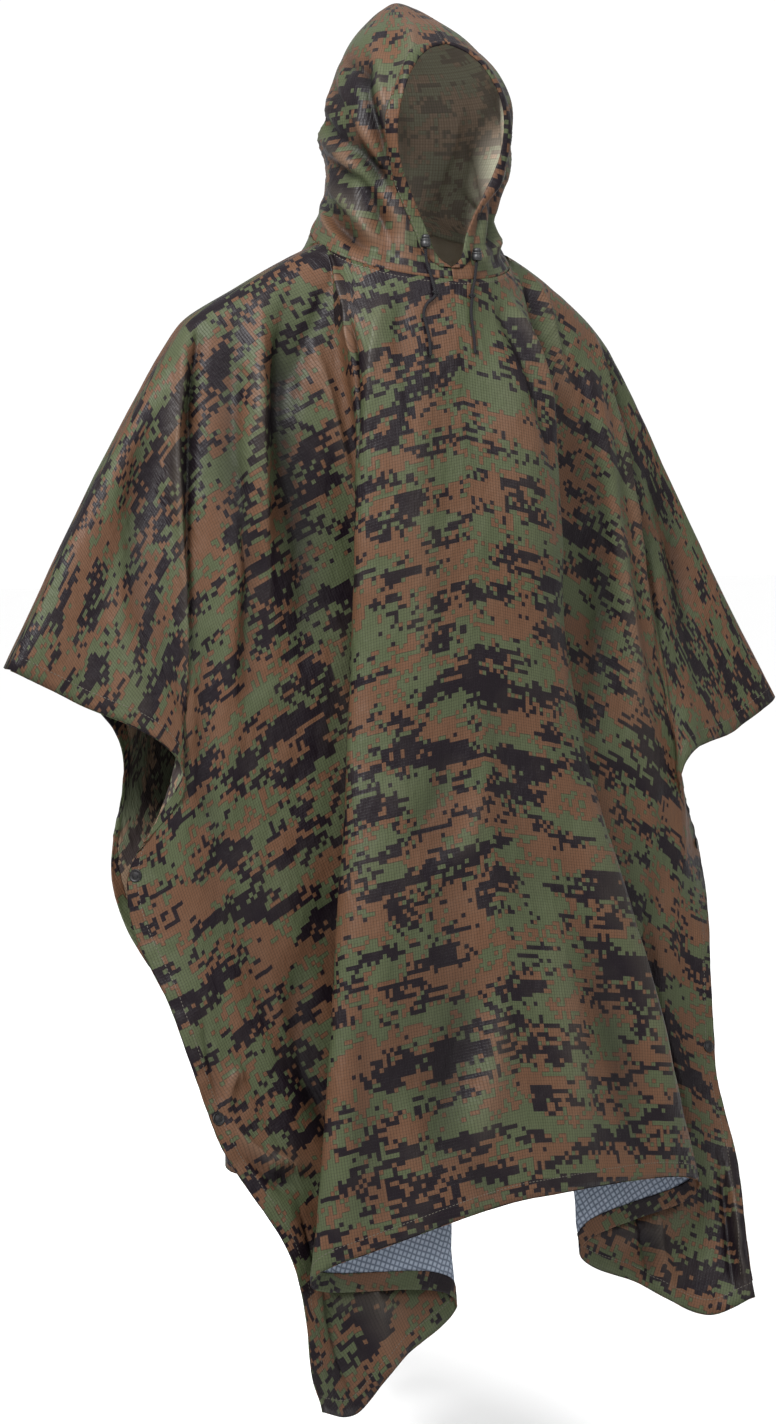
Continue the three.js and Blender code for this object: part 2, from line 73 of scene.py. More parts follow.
# %% [markdown]
# ## Helpers for objects and curves
#
# Most pieces are grids of points, and most of their lines are smooth curves through a few given points. So
# these short functions come first. They link an object, turn it, measure a path, read values off along it,
# and draw the smooth curve between its points.

# %% Link, turn, measure and draw
def add_object(name, data):
    """Puts an object with this data in the scene."""
    thing = bpy.data.objects.new(name, data)
    bpy.context.scene.collection.objects.link(thing)
    return thing


def look_along(thing, direction):
    """Turns a camera or a lamp to face along a direction."""
    thing.rotation_mode = "QUATERNION"
    thing.rotation_quaternion = direction.to_track_quat("-Z", "Y")


def lengths_along(path):
    """Length of a path from its first point to each of its points."""
    return np.concatenate([[0], np.cumsum(np.linalg.norm(np.diff(path, axis=0), axis=1))])


def read_off(wanted, places, values):
    """Each column of values, read off between the places where it is known."""
    return np.stack([np.interp(wanted, places, column) for column in values.T], axis=-1)


def bend_between(start, end, start_slope, end_slope, t):
    """The cubic curve from start to end with the given slopes, at shares t of the way."""
    return (
        start * (2 * t**3 - 3 * t**2 + 1)
        + start_slope * (t**3 - 2 * t**2 + t)
        + end * (3 * t**2 - 2 * t**3)
        + end_slope * (t**3 - t**2)
    )


def smooth_stretches(points, places, steps):
    """The stretches of a smooth curve from each point to the next, without their ends."""
    slopes = np.gradient(points, places, axis=0)
    t = np.arange(steps)[:, None] / steps
    return [
        bend_between(points[i], points[i + 1], slopes[i] * span, slopes[i + 1] * span, t)
        for i, span in enumerate(np.diff(places))
    ]


print("helpers ready")

# %% [markdown]
# ## The camera
#
# The camera stands 2.8 m away, 29 degrees to the wearer's right, a little below the neck, and looks slightly
# down. The lens follows from the focal length in pixels and the height of the picture.

# %% Place the camera
CAMERA_PLACE = Vector((-1.4, -2.4249, -0.2856))
CAMERA_AZIMUTH = math.radians(-29.24)
CAMERA_DIP = math.radians(5.06)
FOCAL_PIXELS = 2339.4
PICTURE_HEIGHT = 1424
SENSOR = 36.0  # millimetres, on the picture's long side


def camera_back(azimuth, dip):
    """The direction from what the camera looks at to the camera."""
    flat = math.cos(dip)
    return Vector((math.sin(azimuth) * flat, -math.cos(azimuth) * flat, math.sin(dip)))


lens = bpy.data.cameras.new("camera")
lens.sensor_fit = "VERTICAL"
lens.sensor_width = SENSOR
lens.sensor_height = SENSOR
lens.lens = FOCAL_PIXELS / PICTURE_HEIGHT * SENSOR
camera = add_object("camera", lens)
camera.location = CAMERA_PLACE
look_along(camera, -camera_back(CAMERA_AZIMUTH, CAMERA_DIP))
bpy.context.scene.camera = camera
bpy.context.scene.view_settings.view_transform = "Standard"
print("lens:", round(lens.lens, 2), "mm")

# %% [markdown]
# ## The drawcord
#
# Two ends of one braided cord come out of the cord locks under the chin. Each is knotted once, so that the
# lock can't slip off, and then hangs free. A cord is a curve with a round bevel: the curve is its centre line,
# so its length can be measured. The knot is a second, short curve, which is turned into a mesh.

# %% The routes of the two cord ends
CORD_DIAMETER = 3.6 * MM
CORD_POINTS = 32
CORD_ROUTES = {
    "right": [
        [-34, -72.8, 8],
        [-33, -73.2, -6],
        [-29.5, -75.6, -20],
        [-27, -81.6, -38.8],
        [-26.5, -83, -43],
        [-28, -83.6, -48],
        [-38, -83.4, -56],
        [-43.5, -85.2, -68],
        [-42, -90, -84],
        [-41, -94.2, -98],
        [-42, -98.6, -116],
    ],
    "left": [
        [34, -74.5, -4],
        [32, -75, -16],
        [28.5, -78.2, -28],
        [22.5, -82.8, -40.8],
        [21.6, -84.5, -45],
        [21, -85.1, -49.6],
        [19, -86.8, -63],
        [18.5, -89.6, -76],
        [19.5, -92.6, -92],
        [18.7, -96.4, -111],
    ],
}
KNOT_POINT = 4  # number of the route's point that the knot lies on
LOCK_PLACES = {"right": [-34, -72.8, 16], "left": [34, -74.5, 4]}
ROUTE_STEPS = 24  # between two points of a route
BEVEL_STEPS = 3


def smooth_path(points, count):
    """Points at even steps along a smooth curve through the given points."""
    points = np.array(points, float)
    chords = np.linalg.norm(np.diff(points, axis=0), axis=1)
    places = np.concatenate([[0], np.cumsum(np.sqrt(chords))])
    fine = np.concatenate(smooth_stretches(points, places, ROUTE_STEPS) + [points[-1:]])
    lengths = lengths_along(fine)
    return read_off(np.linspace(0, lengths[-1], count), lengths, fine)


def path_length(points):
    return float(np.linalg.norm(np.diff(points, axis=0), axis=1).sum())


def cord_curve(name, points):
    """A round cord along the given points."""
    data = bpy.data.curves.new(name, "CURVE")
    data.dimensions = "3D"
    data.bevel_depth = CORD_DIAMETER / 2
    data.bevel_resolution = BEVEL_STEPS
    data.use_fill_caps = True
    spline = data.splines.new("POLY")
    spline.points.add(len(points) - 1)
    for target, point in zip(spline.points, points):
        target.co = (*point, 1)
    spline.use_smooth = True
    return add_object(name, data)


cords = {}
for side, route in CORD_ROUTES.items():
    path = smooth_path(route, CORD_POINTS) * MM
    cords[side] = (cord_curve(f"drawcord_{side}", path), path)
    print(f"drawcord_{side}:", round(path_length(path), 4), "m")

# %% [markdown]
# ## Floor and light
#
# A pale floor lies just below the longest corner of the cloth. The light is that of a product studio: a bright
# room all round, a large soft light on the camera's left, a weaker one on its right and a soft one above.

# %% The floor and the room
FLOOR_HEIGHT = -1.5
FLOOR_SIZE = 60.0
ROOM_LIGHT = 1.05
CHEST = Vector((0.0, 0.0, -0.25))  # what the lamps are turned to
LAMPS = {  # place, size of the square, watts
    "key_light": ((-1.9, -1.25, 1.6), 0.8, 255),
    "fill_light": ((0.6, -2.6, 1.3), 1.0, 70),
    "top_light": ((0.5, -0.5, 2.3), 0.9, 18),
}
for name, (place, size, watts) in LAMPS.items():
    lamp = bpy.data.lights.new(name, "AREA")
    lamp.energy = watts
    lamp.size = size
    lamp_object = add_object(name, lamp)
    lamp_object.location = place
    look_along(lamp_object, CHEST - Vector(place))
world = bpy.data.worlds.new("studio")
world.use_nodes = True
room = world.node_tree.nodes["Background"].inputs
room["Color"].default_value = (1.0, 1.0, 1.0, 1)
room["Strength"].default_value = ROOM_LIGHT
bpy.context.scene.world = world

bpy.ops.mesh.primitive_plane_add(size=FLOOR_SIZE, location=(0, 0, FLOOR_HEIGHT))
floor = bpy.context.object
floor.name = "floor"
floor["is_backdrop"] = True
print("floor at", FLOOR_HEIGHT)

# %% [markdown]
# ## Shader sums as Python
#
# A material's look is a sum of masks and colours. Written with the node editor's own calls, every product
# would take four lines. So one small class wraps a socket, and its operators add the Math nodes.

# %% A socket that can be added and multiplied
class Value:
    """A number at every point of a surface."""

    def __init__(self, finish, socket):
        self.finish = finish
        self.socket = socket

    def math(self, operation, *others):
        node = self.finish.node("ShaderNodeMath", {"operation": operation}, dict(enumerate((self, *others))))
        return Value(self.finish, node.outputs[0])

    def __add__(self, other):
        return self.math("ADD", other)

    def __sub__(self, other):
        return self.math("SUBTRACT", other)

    def __mul__(self, other):
        return self.math("MULTIPLY", other)

    def __rsub__(self, other):
        return self * -1 + other

    __radd__ = __add__
    __rmul__ = __mul__

    def above(self, limit):
        return self.math("GREATER_THAN", limit)

    def power(self, exponent):
        return self.math("POWER", exponent)

    def cosine(self):
        return self.math("COSINE")

    def size(self):
        return self.math("ABSOLUTE")

    def larger(self, other):
        return self.math("MAXIMUM", other)


class Finish:
    """One material, whose nodes are added one at a time."""

    def __init__(self, name, **fixed):
        self.material = bpy.data.materials.new(name)
        self.material.use_nodes = True
        self.tree = self.material.node_tree
        self.shader = self.tree.nodes["Principled BSDF"]
        for socket, value in fixed.items():
            self.shader.inputs[socket.replace("_", " ")].default_value = value

    def node(self, kind, settings=None, values=None):
        """Adds one node: its settings first, then the values or links of its sockets."""
        node = self.tree.nodes.new(kind)
        for setting, value in (settings or {}).items():
            setattr(node, setting, value)
        for socket, value in (values or {}).items():
            self.put(node.inputs[socket], value)
        return node

    def put(self, target, value):
        if isinstance(value, Value):
            value = value.socket
        if isinstance(value, bpy.types.NodeSocket):
            self.tree.links.new(value, target)
        else:
            target.default_value = value

    def set(self, socket, value):
        self.put(self.shader.inputs[socket], value)

    def vector(self, operation, *values):
        node = self.node("ShaderNodeVectorMath", {"operation": operation}, dict(enumerate(values)))
        return node.outputs[0]

    def noise(self, place, scale=1.0, detail=2.0, roughness=0.5):
        values = {"Vector": place, "Scale": scale, "Detail": detail, "Roughness": roughness}
        return Value(self, self.node("ShaderNodeTexNoise", None, values).outputs["Fac"])

    def chance(self, place):
        return Value(self, self.node("ShaderNodeTexWhiteNoise", None, {"Vector": place}).outputs["Value"])

    def mix(self, share, first, second):
        """Two colours mixed by a share from 0 to 1."""
        return self.node("ShaderNodeMix", {"data_type": "RGBA"}, {0: share, 6: first, 7: second}).outputs[2]

    def place(self, kind="Object"):
        return self.node("ShaderNodeTexCoord").outputs[kind]

    def split(self, vector):
        """The three numbers of a vector."""
        parts = self.node("ShaderNodeSeparateXYZ", None, {0: vector}).outputs
        return [Value(self, part) for part in parts]

    def bump(self, height):
        """Turns a height in metres into a normal."""
        values = {"Height": height, "Distance": 1.0, "Strength": 1.0}
        self.set("Normal", self.node("ShaderNodeBump", None, values).outputs["Normal"])


def linear(red, green, blue):
    """A colour given as on a screen, from 0 to 255, as the shader's linear colour."""
    shares = [value / 255 for value in (red, green, blue)]
    return (*[s / 12.92 if s < 0.04045 else ((s + 0.055) / 1.055) ** 2.4 for s in shares], 1)


floor_finish = Finish("floor_paper", Roughness=0.9)
floor_finish.set("Base Color", floor_finish.mix(0.5, linear(246, 246, 246), linear(250, 250, 250)))
floor.data.materials.append(floor_finish.material)
print("floor finish:", len(floor_finish.tree.nodes), "nodes")

# %% [markdown]
# ## The print
#
# A pixel camouflage is printed in square cells of about 5 mm. Its patches are long across the cloth and have
# ragged, stepped edges with single cells scattered beside them. The mesh's UV map holds the place of each
# point on the flat cloth, in metres. The place is snapped to its cell, and slow noise at the cell decides the
# colour. A little chance for each cell, and for each block of cells, frays the borders.

# %% Colours of the print
PRINTS = {  # brown, green, dark, outline of the green
    "bright": [(62, 42, 29), (46, 51, 34), (11, 6, 10), (26, 20, 15)],
    "dull": [(164, 142, 124), (144, 146, 126), (118, 110, 102), (116, 108, 96)],
    # the dull print darkened as painted shade, for the body's inside
    "dull_in_painted_shade": [(88, 72, 58), (70, 74, 58), (40, 34, 33), (48, 42, 36)],
}
# dark of the rip-stop threads, and the painted shade in the troughs of creases
THREAD_AND_TROUGH_SHADE = linear(9, 8, 8)
# paler tone of the random mottle, and the painted highlight on the crests of creases
WORN_AND_CREST_HIGHLIGHT = linear(78, 72, 62)
NECK_PALE = linear(156, 144, 126)
LIT_COATING_DOWN = 1.0  # metres down the flat cloth, below which the inside is painted pale as lit coating; above it the print is painted in shade
NECK_LIT_DOWN = 0.2  # metres down the flat cloth, above which light from the hood makes the inside paler
NECK_LIT_SHARE = 0.85
TROUGH_SHADE = 0.04  # darkening of a crease for each mm of its depth, where little light gets in
# painted highlight on the crest of a crease, for each mm of its height
CREST_HIGHLIGHT = 0.014
SHEEN = 0.08  # how much the coating mirrors, as the shader's specular level
CELL = 5 * MM
BLOCK_CELLS = 3
# limit: the noise above it is inside; fray: how far chance moves that noise, for one cell and for a block
GREEN_PATCHES = {"seed": 3.1, "width": 0.11, "height": 0.045, "limit": 0.5, "fray": 0.12, "block_fray": 0.07}
DARK_PATCHES = {"seed": 7.7, "width": 0.085, "height": 0.03, "limit": 0.535, "fray": 0.11, "block_fray": 0.09}
OUTLINE = {"width": 0.7 * MM, "share": 0.7}
MOTTLE = {"scale": 22.0, "middle": 0.47, "share": 0.16}
RIPSTOP = {"pitch": 3.4 * MM, "sharpness": 6}
PLAID = {"pitch": 6.2 * MM, "sharpness": 2.5}  # heavier threads, which show on the coated side
THREAD_SHARES = (0.34, 0.2)  # how dark the upright and the level threads are
THREAD_HEIGHT = 0.00012
CRUMPLE_HEIGHT = 0.0026
FULL_TURN = 2 * math.pi


def ragged_mask(finish, place, seed, width, height, limit, fray, block_fray):
    """1 inside the patches of one colour of the print, 0 outside."""
    cell = finish.vector("SNAP", place, (CELL, CELL, 1))
    block = finish.vector("SNAP", place, (BLOCK_CELLS * CELL, CELL, 1))
    stretched = finish.vector("MULTIPLY", cell, (1 / width, 1 / height, 1))
    moved = finish.vector("ADD", stretched, (seed, seed * 1.7, seed * 0.3))
    patches = finish.noise(moved, detail=4.0, roughness=0.66)
    single = finish.chance(finish.vector("ADD", cell, (seed, 0, 0)))
    group = finish.chance(finish.vector("ADD", block, (0, seed, 0)))
    return (patches + (single - 0.5) * fray + (group - 0.5) * block_fray).above(limit)


def weave_lines(finish, place, pitch, sharpness):
    """Two sets of threads at an even pitch: upright ones and level ones, as masks."""
    turns = [part * (FULL_TURN / pitch) for part in finish.split(place)[:2]]
    return [(turn.cosine() * 0.5 + 0.5).power(sharpness) for turn in turns]


def printed(finish, colours):
    """The printed colour with painted shade in the creases and painted highlights on their crests, and its
    place, its dark patches and its threads, which other sums need.
    """
    brown, green, dark, outline = [linear(*colour) for colour in PRINTS[colours]]
    place = finish.place("UV")
    in_green = ragged_mask(finish, place, **GREEN_PATCHES)
    beside = finish.vector("ADD", place, (OUTLINE["width"], OUTLINE["width"], 0))
    on_outline = (in_green - ragged_mask(finish, beside, **GREEN_PATCHES)).size()
    in_dark = ragged_mask(finish, place, **DARK_PATCHES)
    cloth = finish.mix(in_green, brown, green)
    cloth = finish.mix(on_outline * OUTLINE["share"], cloth, outline)
    cloth = finish.mix(in_dark, cloth, dark)
    mottle = finish.noise(place, MOTTLE["scale"])
    cloth = finish.mix((mottle - MOTTLE["middle"]) * MOTTLE["share"], cloth, WORN_AND_CREST_HIGHLIGHT)
    # Painted shade in the troughs of the creases and a painted highlight on their crests, from their heights
    # in the attribute fold.
    fold = Value(finish, finish.node("ShaderNodeAttribute", {"attribute_name": "fold"}).outputs["Fac"])
    cloth = finish.mix(fold.larger(0) * CREST_HIGHLIGHT, cloth, WORN_AND_CREST_HIGHLIGHT)
    cloth = finish.mix((fold * -1).larger(0) * TROUGH_SHADE, cloth, THREAD_AND_TROUGH_SHADE)
    upright, level = weave_lines(finish, place, **RIPSTOP)
    cloth = finish.mix(upright * THREAD_SHARES[0] + level * THREAD_SHARES[1], cloth, THREAD_AND_TROUGH_SHADE)
    return place, cloth, in_dark, upright, level


def cloth_bump(finish, place, upright, level):
    """Threads of the rip-stop and small crumples that are finer than the mesh."""
    crumple = finish.noise(finish.vector("MULTIPLY", place, (1, 0.45, 1)), 70.0, 3.0, 0.55)
    finish.bump((upright + level * 0.6) * THREAD_HEIGHT + crumple * CRUMPLE_HEIGHT)


def outside_finish():
    finish = Finish("printed_nylon", Specular_IOR_Level=SHEEN)
    place, cloth, in_dark, upright, level = printed(finish, "bright")
    finish.set("Base Color", cloth)
    finish.set("Roughness", 0.49 - in_dark * 0.05 + upright * 0.08)
    cloth_bump(finish, place, upright, level)
    return finish.material


def inside_finish(name, colours, coating, cover, grid_colour, grid_share, pale_by_height):
    """The coated back of the cloth: the print shows through dulled, under a grid of threads.

    On the body the coating is painted pale only low down, as lit cloth, with the print in painted shade above
    it, and the cloth is painted pale round the neck, as lit from the hood.
    """
    finish = Finish(name, Specular_IOR_Level=SHEEN)
    place, cloth, _, upright, level = printed(finish, colours)
    share = cover
    if pale_by_height:
        down = finish.split(place)[1].size()
        share = (down - LIT_COATING_DOWN).above(0) * cover
        cloth = finish.mix((down * -1 + NECK_LIT_DOWN).above(0) * NECK_LIT_SHARE, cloth, NECK_PALE)
    coated = finish.mix(share, cloth, coating)
    wide_upright, wide_level = weave_lines(finish, place, **PLAID)
    grid = wide_upright.larger(wide_level) * share * grid_share
    finish.set("Base Color", finish.mix(grid, coated, grid_colour))
    finish.set("Roughness", 0.6 + grid * 0.1)
    cloth_bump(finish, place, upright, level)
    return finish.material


printed_nylon = outside_finish()
# the body's inside: its print in painted shade, and its coating painted pale as if lit low down
body_inside = inside_finish(
    "coating_painted_lit_and_shaded", "dull_in_painted_shade", linear(108, 116, 128), 0.9, linear(30, 37, 50), 0.85, pale_by_height=True
)
hood_inside = inside_finish(
    "hood_coating", "dull", linear(122, 114, 100), 0.35, linear(84, 80, 72), 0.5, pale_by_height=False
)
print("cloth finishes:", [m.name for m in (printed_nylon, body_inside, hood_inside)])

# %% [markdown]
# ## The form of the cloth
#
# The two halves of the body hang from the neck and the arms. Lines run down each half, from the top edge to
# the hem: the middle, the edge of the main fold, the fold's inner edge, the flank, the arm's fold and the side
# edge. Rows across them are smooth curves whose bends are as tight as a fold of nylon. These are the same
# named lines as in the solids, so the thin cloth lies on the solids' own form.

# %% Lines that run down the front and the back, in millimetres
DOWN = np.array([0, 0.12, 0.3, 0.42, 0.55, 0.7, 0.85, 1])
FRONT_LINES = {
    "middle": [
        [0, -78, -26], [0, -95, -120], [0, -122, -300], [0, -134, -435],
        [0, -154, -575], [0, -188, -735], [0, -228, -905], [0, -268, -1058.5],
    ],
    "main fold": [
        [106, -32, -6], [127, -82, -135], [139, -98, -322], [145, -101, -462],
        [163, -121, -600], [194, -152, -760], [226, -188, -930], [261, -218, -1100],
    ],
    "inner fold": [
        [125, 20, 17], [128, -38, -130], [96, -58, -338], [84, -62, -482],
        [80, -84, -625], [80, -118, -785], [82, -162, -960], [85, -205, -1156],
    ],
    "flank": [
        [205, 28, -25], [223, -30, -148], [245, -48, -375], [258, -60, -545],
        [262, -80, -690], [246, -102, -840], [208, -146, -1005], [160, -212, -1205],
    ],
    "arm fold": [
        [284, 40, -80], [306, -5, -210], [322, -42, -468], [344, -64, -655],
        [322, -86, -790], [298, -110, -905], [268, -160, -1055], [240, -240, -1248],
    ],
    "side edge": [
        [526, -11, -497], [455, -36, -534], [340, -70, -597], [394, -34, -715],
        [366, -94, -850], [342, -130, -965], [304, -192, -1100], [292, -262, -1228],
    ],
}
BACK_LINES = {
    "middle": [
        [0, 118, 60], [0, 160, -75], [0, 182, -260], [0, 181, -400],
        [0, 178, -545], [0, 180, -700], [0, 186, -870], [0, 195, -1030],
    ],
    "main fold": [
        [106, 72, 40], [112, 146, -88], [150, 158, -268], [160, 156, -412],
        [170, 155, -560], [178, 158, -712], [184, 163, -879], [190, 170, -1040],
    ],
    "inner fold": [
        [125, 20, 17], [170, 112, -98], [140, 112, -282], [115, 106, -425],
        [95, 108, -570], [80, 112, -720], [74, 116, -884], [72, 120, -1045],
    ],
    "flank": [
        [205, 28, -25], [228, 78, -128], [238, 94, -332], [245, 92, -480],
        [245, 92, -625], [240, 95, -755], [236, 100, -908], [232, 106, -1060],
    ],
    "arm fold": [
        [284, 40, -80], [305, 60, -200], [322, 52, -455], [330, 44, -622],
        [288, 14, -738], [222, 34, -830], [160, 45, -950], [135, 52, -1072],
    ],
    "side edge": [
        [526, -11, -497], [450, 18, -518], [374, 34, -576], [400, -6, -724],
        [358, -78, -842], [315, -104, -955], [262, -44, -1035], [215, 0, -1085],
    ],
}
FRONT_BENDS = [0, 11, 10, 0, 22, 0]  # radius of the bend at each line; 0 is a smooth pass
BACK_BENDS = [0, 18, 16, 22, 20, 0]
RIDGE_RADIUS = 42
RIDGE_BENDS = [0, 0, 30, 0]
ARM_LIFT = 35  # the right arm is held higher than the left by twice this
HEM_DROP = 29  # the right half hangs lower at the hem
HEM_DRIFT = [0, 0, 0, 0, 2, 8, 38, 22]  # how far the sides swing to the wearer's left, by row
NECK = {"half_width": 125, "half_depth": 98, "middle_fore": 20, "middle_up": 17, "rise": 43}
NECK_ANGLES = [0, 58, 90]
print("lines:", len(FRONT_LINES) + len(BACK_LINES), "rows:", len(DOWN))


# %% Curves through given points
def unit(vectors):
    return vectors / np.maximum(np.linalg.norm(vectors, axis=-1, keepdims=True), 1e-12)


def smooth(x):
    t = np.clip(x, 0, 1)
    return t * t * (3 - 2 * t)


def end_tangent(points, index, first):
    """Direction of a curve at one of its points; first is the direction it starts in, if that is given."""
    if index == 0 and first is not None:
        return unit(np.array(first, float))
    before = points[max(0, index - 1)]
    after = points[min(len(points) - 1, index + 1)]
    return unit(unit(points[index] - before) + unit(after - points[index]))


def tangent_length(tangent, chord, length, bend):
    """How strongly a curve keeps its direction at a point, for a bend of the given radius."""
    if not bend:
        return length
    turn = math.sqrt(max(0.0, 1 - (tangent @ chord / length) ** 2))
    return min(length, math.sqrt(6 * length * bend * turn))


def curve_points(points, bends, index, shares, first=None):
    """Points between one given point and the next, at the shares of the way."""
    chord = points[index + 1] - points[index]
    length = float(np.linalg.norm(chord))
    t = np.atleast_1d(shares)[:, None]
    if length < 1e-6:
        return np.repeat(points[index][None], len(t), axis=0)
    slopes = []
    for end in (index, index + 1):
        tangent = end_tangent(points, end, first)
        slopes.append(tangent * tangent_length(tangent, chord, length, bends[end]))
    return bend_between(points[index], points[index + 1], *slopes, t)


# %% One panel of the body as a grid of points
LINE_NAMES = list(FRONT_LINES)
FIRST_RIDGE_LINE = 2


def spread(steps, bunching=0.45):
    """Places along the stretches between lines: (stretch, share) rows, closer together at the lines."""
    places = []
    for stretch, count in enumerate(steps):
        even = np.arange(count) / count
        shares = even + bunching * (0.5 - 0.5 * np.cos(math.pi * even) - even)
        places += [(stretch, share) for share in shares]
    return np.array(places + [(len(steps) - 1, 1.0)])


def neck_points(degrees):
    turn = np.radians(degrees)
    x = NECK["half_width"] * np.sin(turn)
    y = NECK["middle_fore"] - NECK["half_depth"] * np.cos(turn)
    z = NECK["middle_up"] - NECK["rise"] * np.cos(turn)
    return np.stack([x, y, z], axis=-1)


def per_stretch(places, make):
    """Calls make(stretch, shares) for each stretch and puts the results in one array."""
    parts = []
    for stretch in sorted(set(places[:, 0].astype(int))):
        shares = places[places[:, 0] == stretch, 1]
        parts.append(make(stretch, shares))
    return np.concatenate(parts)


def top_edge(facing, across):
    """Round the neck to its side, then along the shoulder and the arm."""
    ridge = np.array([FRONT_LINES[name][0] for name in LINE_NAMES[FIRST_RIDGE_LINE:]], float)

    def stretch_points(stretch, shares):
        if stretch < FIRST_RIDGE_LINE:
            turn = NECK_ANGLES[stretch] + (NECK_ANGLES[stretch + 1] - NECK_ANGLES[stretch]) * shares
            return neck_points(turn if facing < 0 else 180 - turn)
        return curve_points(ridge, RIDGE_BENDS, stretch - FIRST_RIDGE_LINE, shares)

    return per_stretch(across, stretch_points)


def line_points(table, facing, downwards):
    """The six lines at every row of the grid."""
    lines = []
    for number, name in enumerate(LINE_NAMES):
        places = np.array(table[name], float)
        ridge = number >= FIRST_RIDGE_LINE
        bends = [RIDGE_RADIUS if ridge else 0] + [0] * (len(places) - 1)
        over = (0, facing, 0) if ridge else None
        lines.append(per_stretch(downwards, lambda row, s: curve_points(places, bends, row, s, over)))
    return np.stack(lines, axis=1)


def share_down(row):
    """How far down the panel a row of the table lies, from 0 to 1."""
    return np.interp(row, np.arange(len(DOWN)), DOWN)


def half_panel(table, bends, facing, across, downwards):
    """The half on the wearer's left, before folds: an array of rows, columns and x, y, z."""
    keys = line_points(table, facing, downwards)
    out = (1, 0, 0)
    rows = [per_stretch(across, lambda c, t: curve_points(key, bends, c, t, out)) for key in keys]
    grid = np.array(rows)
    fade = 1 - smooth(share_down(downwards.sum(axis=1)) / DOWN[1])
    return grid + fade[:, None, None] * (top_edge(facing, across) - grid[0])[None]


ARM_FROM, ARM_REACH = 220, 250  # mm from the middle to where the arm's lift starts, and over which it grows
ARM_FADE = 0.2  # shares of the way down over which the lift ends
SWING_REACH = 1.6  # columns over which the sideways swing grows
DROP_FROM = 0.6  # share of the way down at which the right half starts to hang lower


def pose(points, side, column, row):
    """The right arm is a little higher than the left, and the right half of the skirt hangs lower."""
    points = points.copy()
    points[..., 0] *= side
    down = share_down(row)
    arm = smooth((np.abs(points[..., 0]) - ARM_FROM) / ARM_REACH)
    arm_end = 1 - smooth((down - DOWN[2]) / ARM_FADE)
    points[..., 2] -= side * ARM_LIFT * arm * arm_end[:, None]
    whole = np.minimum(row.astype(int), len(DOWN) - 2)
    drift = np.array(HEM_DRIFT, float)
    swing = drift[whole] + (drift[whole + 1] - drift[whole]) * smooth(row - whole)
    points[..., 0] += swing[:, None] * smooth((column - 1) / SWING_REACH)[None]
    if side < 0:
        drop = smooth((down - DROP_FROM) / 0.4)
        points[..., 2] -= HEM_DROP * smooth(column * 1.4)[None] * drop[:, None]
    return points


def normals(points, outward):
    """Outward normals of a grid by its neighbours."""
    down = np.gradient(points, axis=0)
    along = np.gradient(points, axis=1)
    return unit(np.cross(down, along)) * (1 if outward else -1)


# %% [markdown]
# ## Folds and creases
#
# Soft ridges and troughs are part of the solids. Nylon also keeps many smaller creases, which are listed here
# one by one: each runs from one place to another, has its own width and height, and may be bowed. Places count
# the table's columns from the middle and its rows from the top, so a crease stays where it belongs when the
# form changes. A little slow noise then keeps the surface between them from being dead flat.

# %% Folds of the solids and creases of the cloth
TABLE_STEP = (110, 150)  # mm across one column of the table, and down one row
# half width, height, and both ends as (across, down)
FRONT_FOLDS = [
    (30, 7, [(0.55, 0.6), (0.4, 3.4)]),
    (34, -9, [(0.2, 3.6), (0.5, 7)]),
    (24, 8, [(0.62, 4.2), (0.78, 7)]),
    (26, 8, [(3.1, 0.8), (3.3, 3.9)]),
    (26, -8, [(3.4, 3.6), (3.0, 6.4)]),
    (24, -7, [(4.3, 0.2), (4.6, 1.8)]),
    (18, -7, [(2.6, 0.5), (2.9, 2.6)]),
]
BACK_FOLDS = [
    (30, 9, [(0.4, 1.2), (0.3, 7)]),
    (22, -8, [(0.75, 0.8), (0.7, 4.5)]),
    (24, 8, [(3.5, 0.5), (3.3, 3.6)]),
    (22, -7, [(4.4, 0.3), (4.6, 1.7)]),
    (20, -7, [(2.3, 0.8), (2.4, 3.2)]),
]
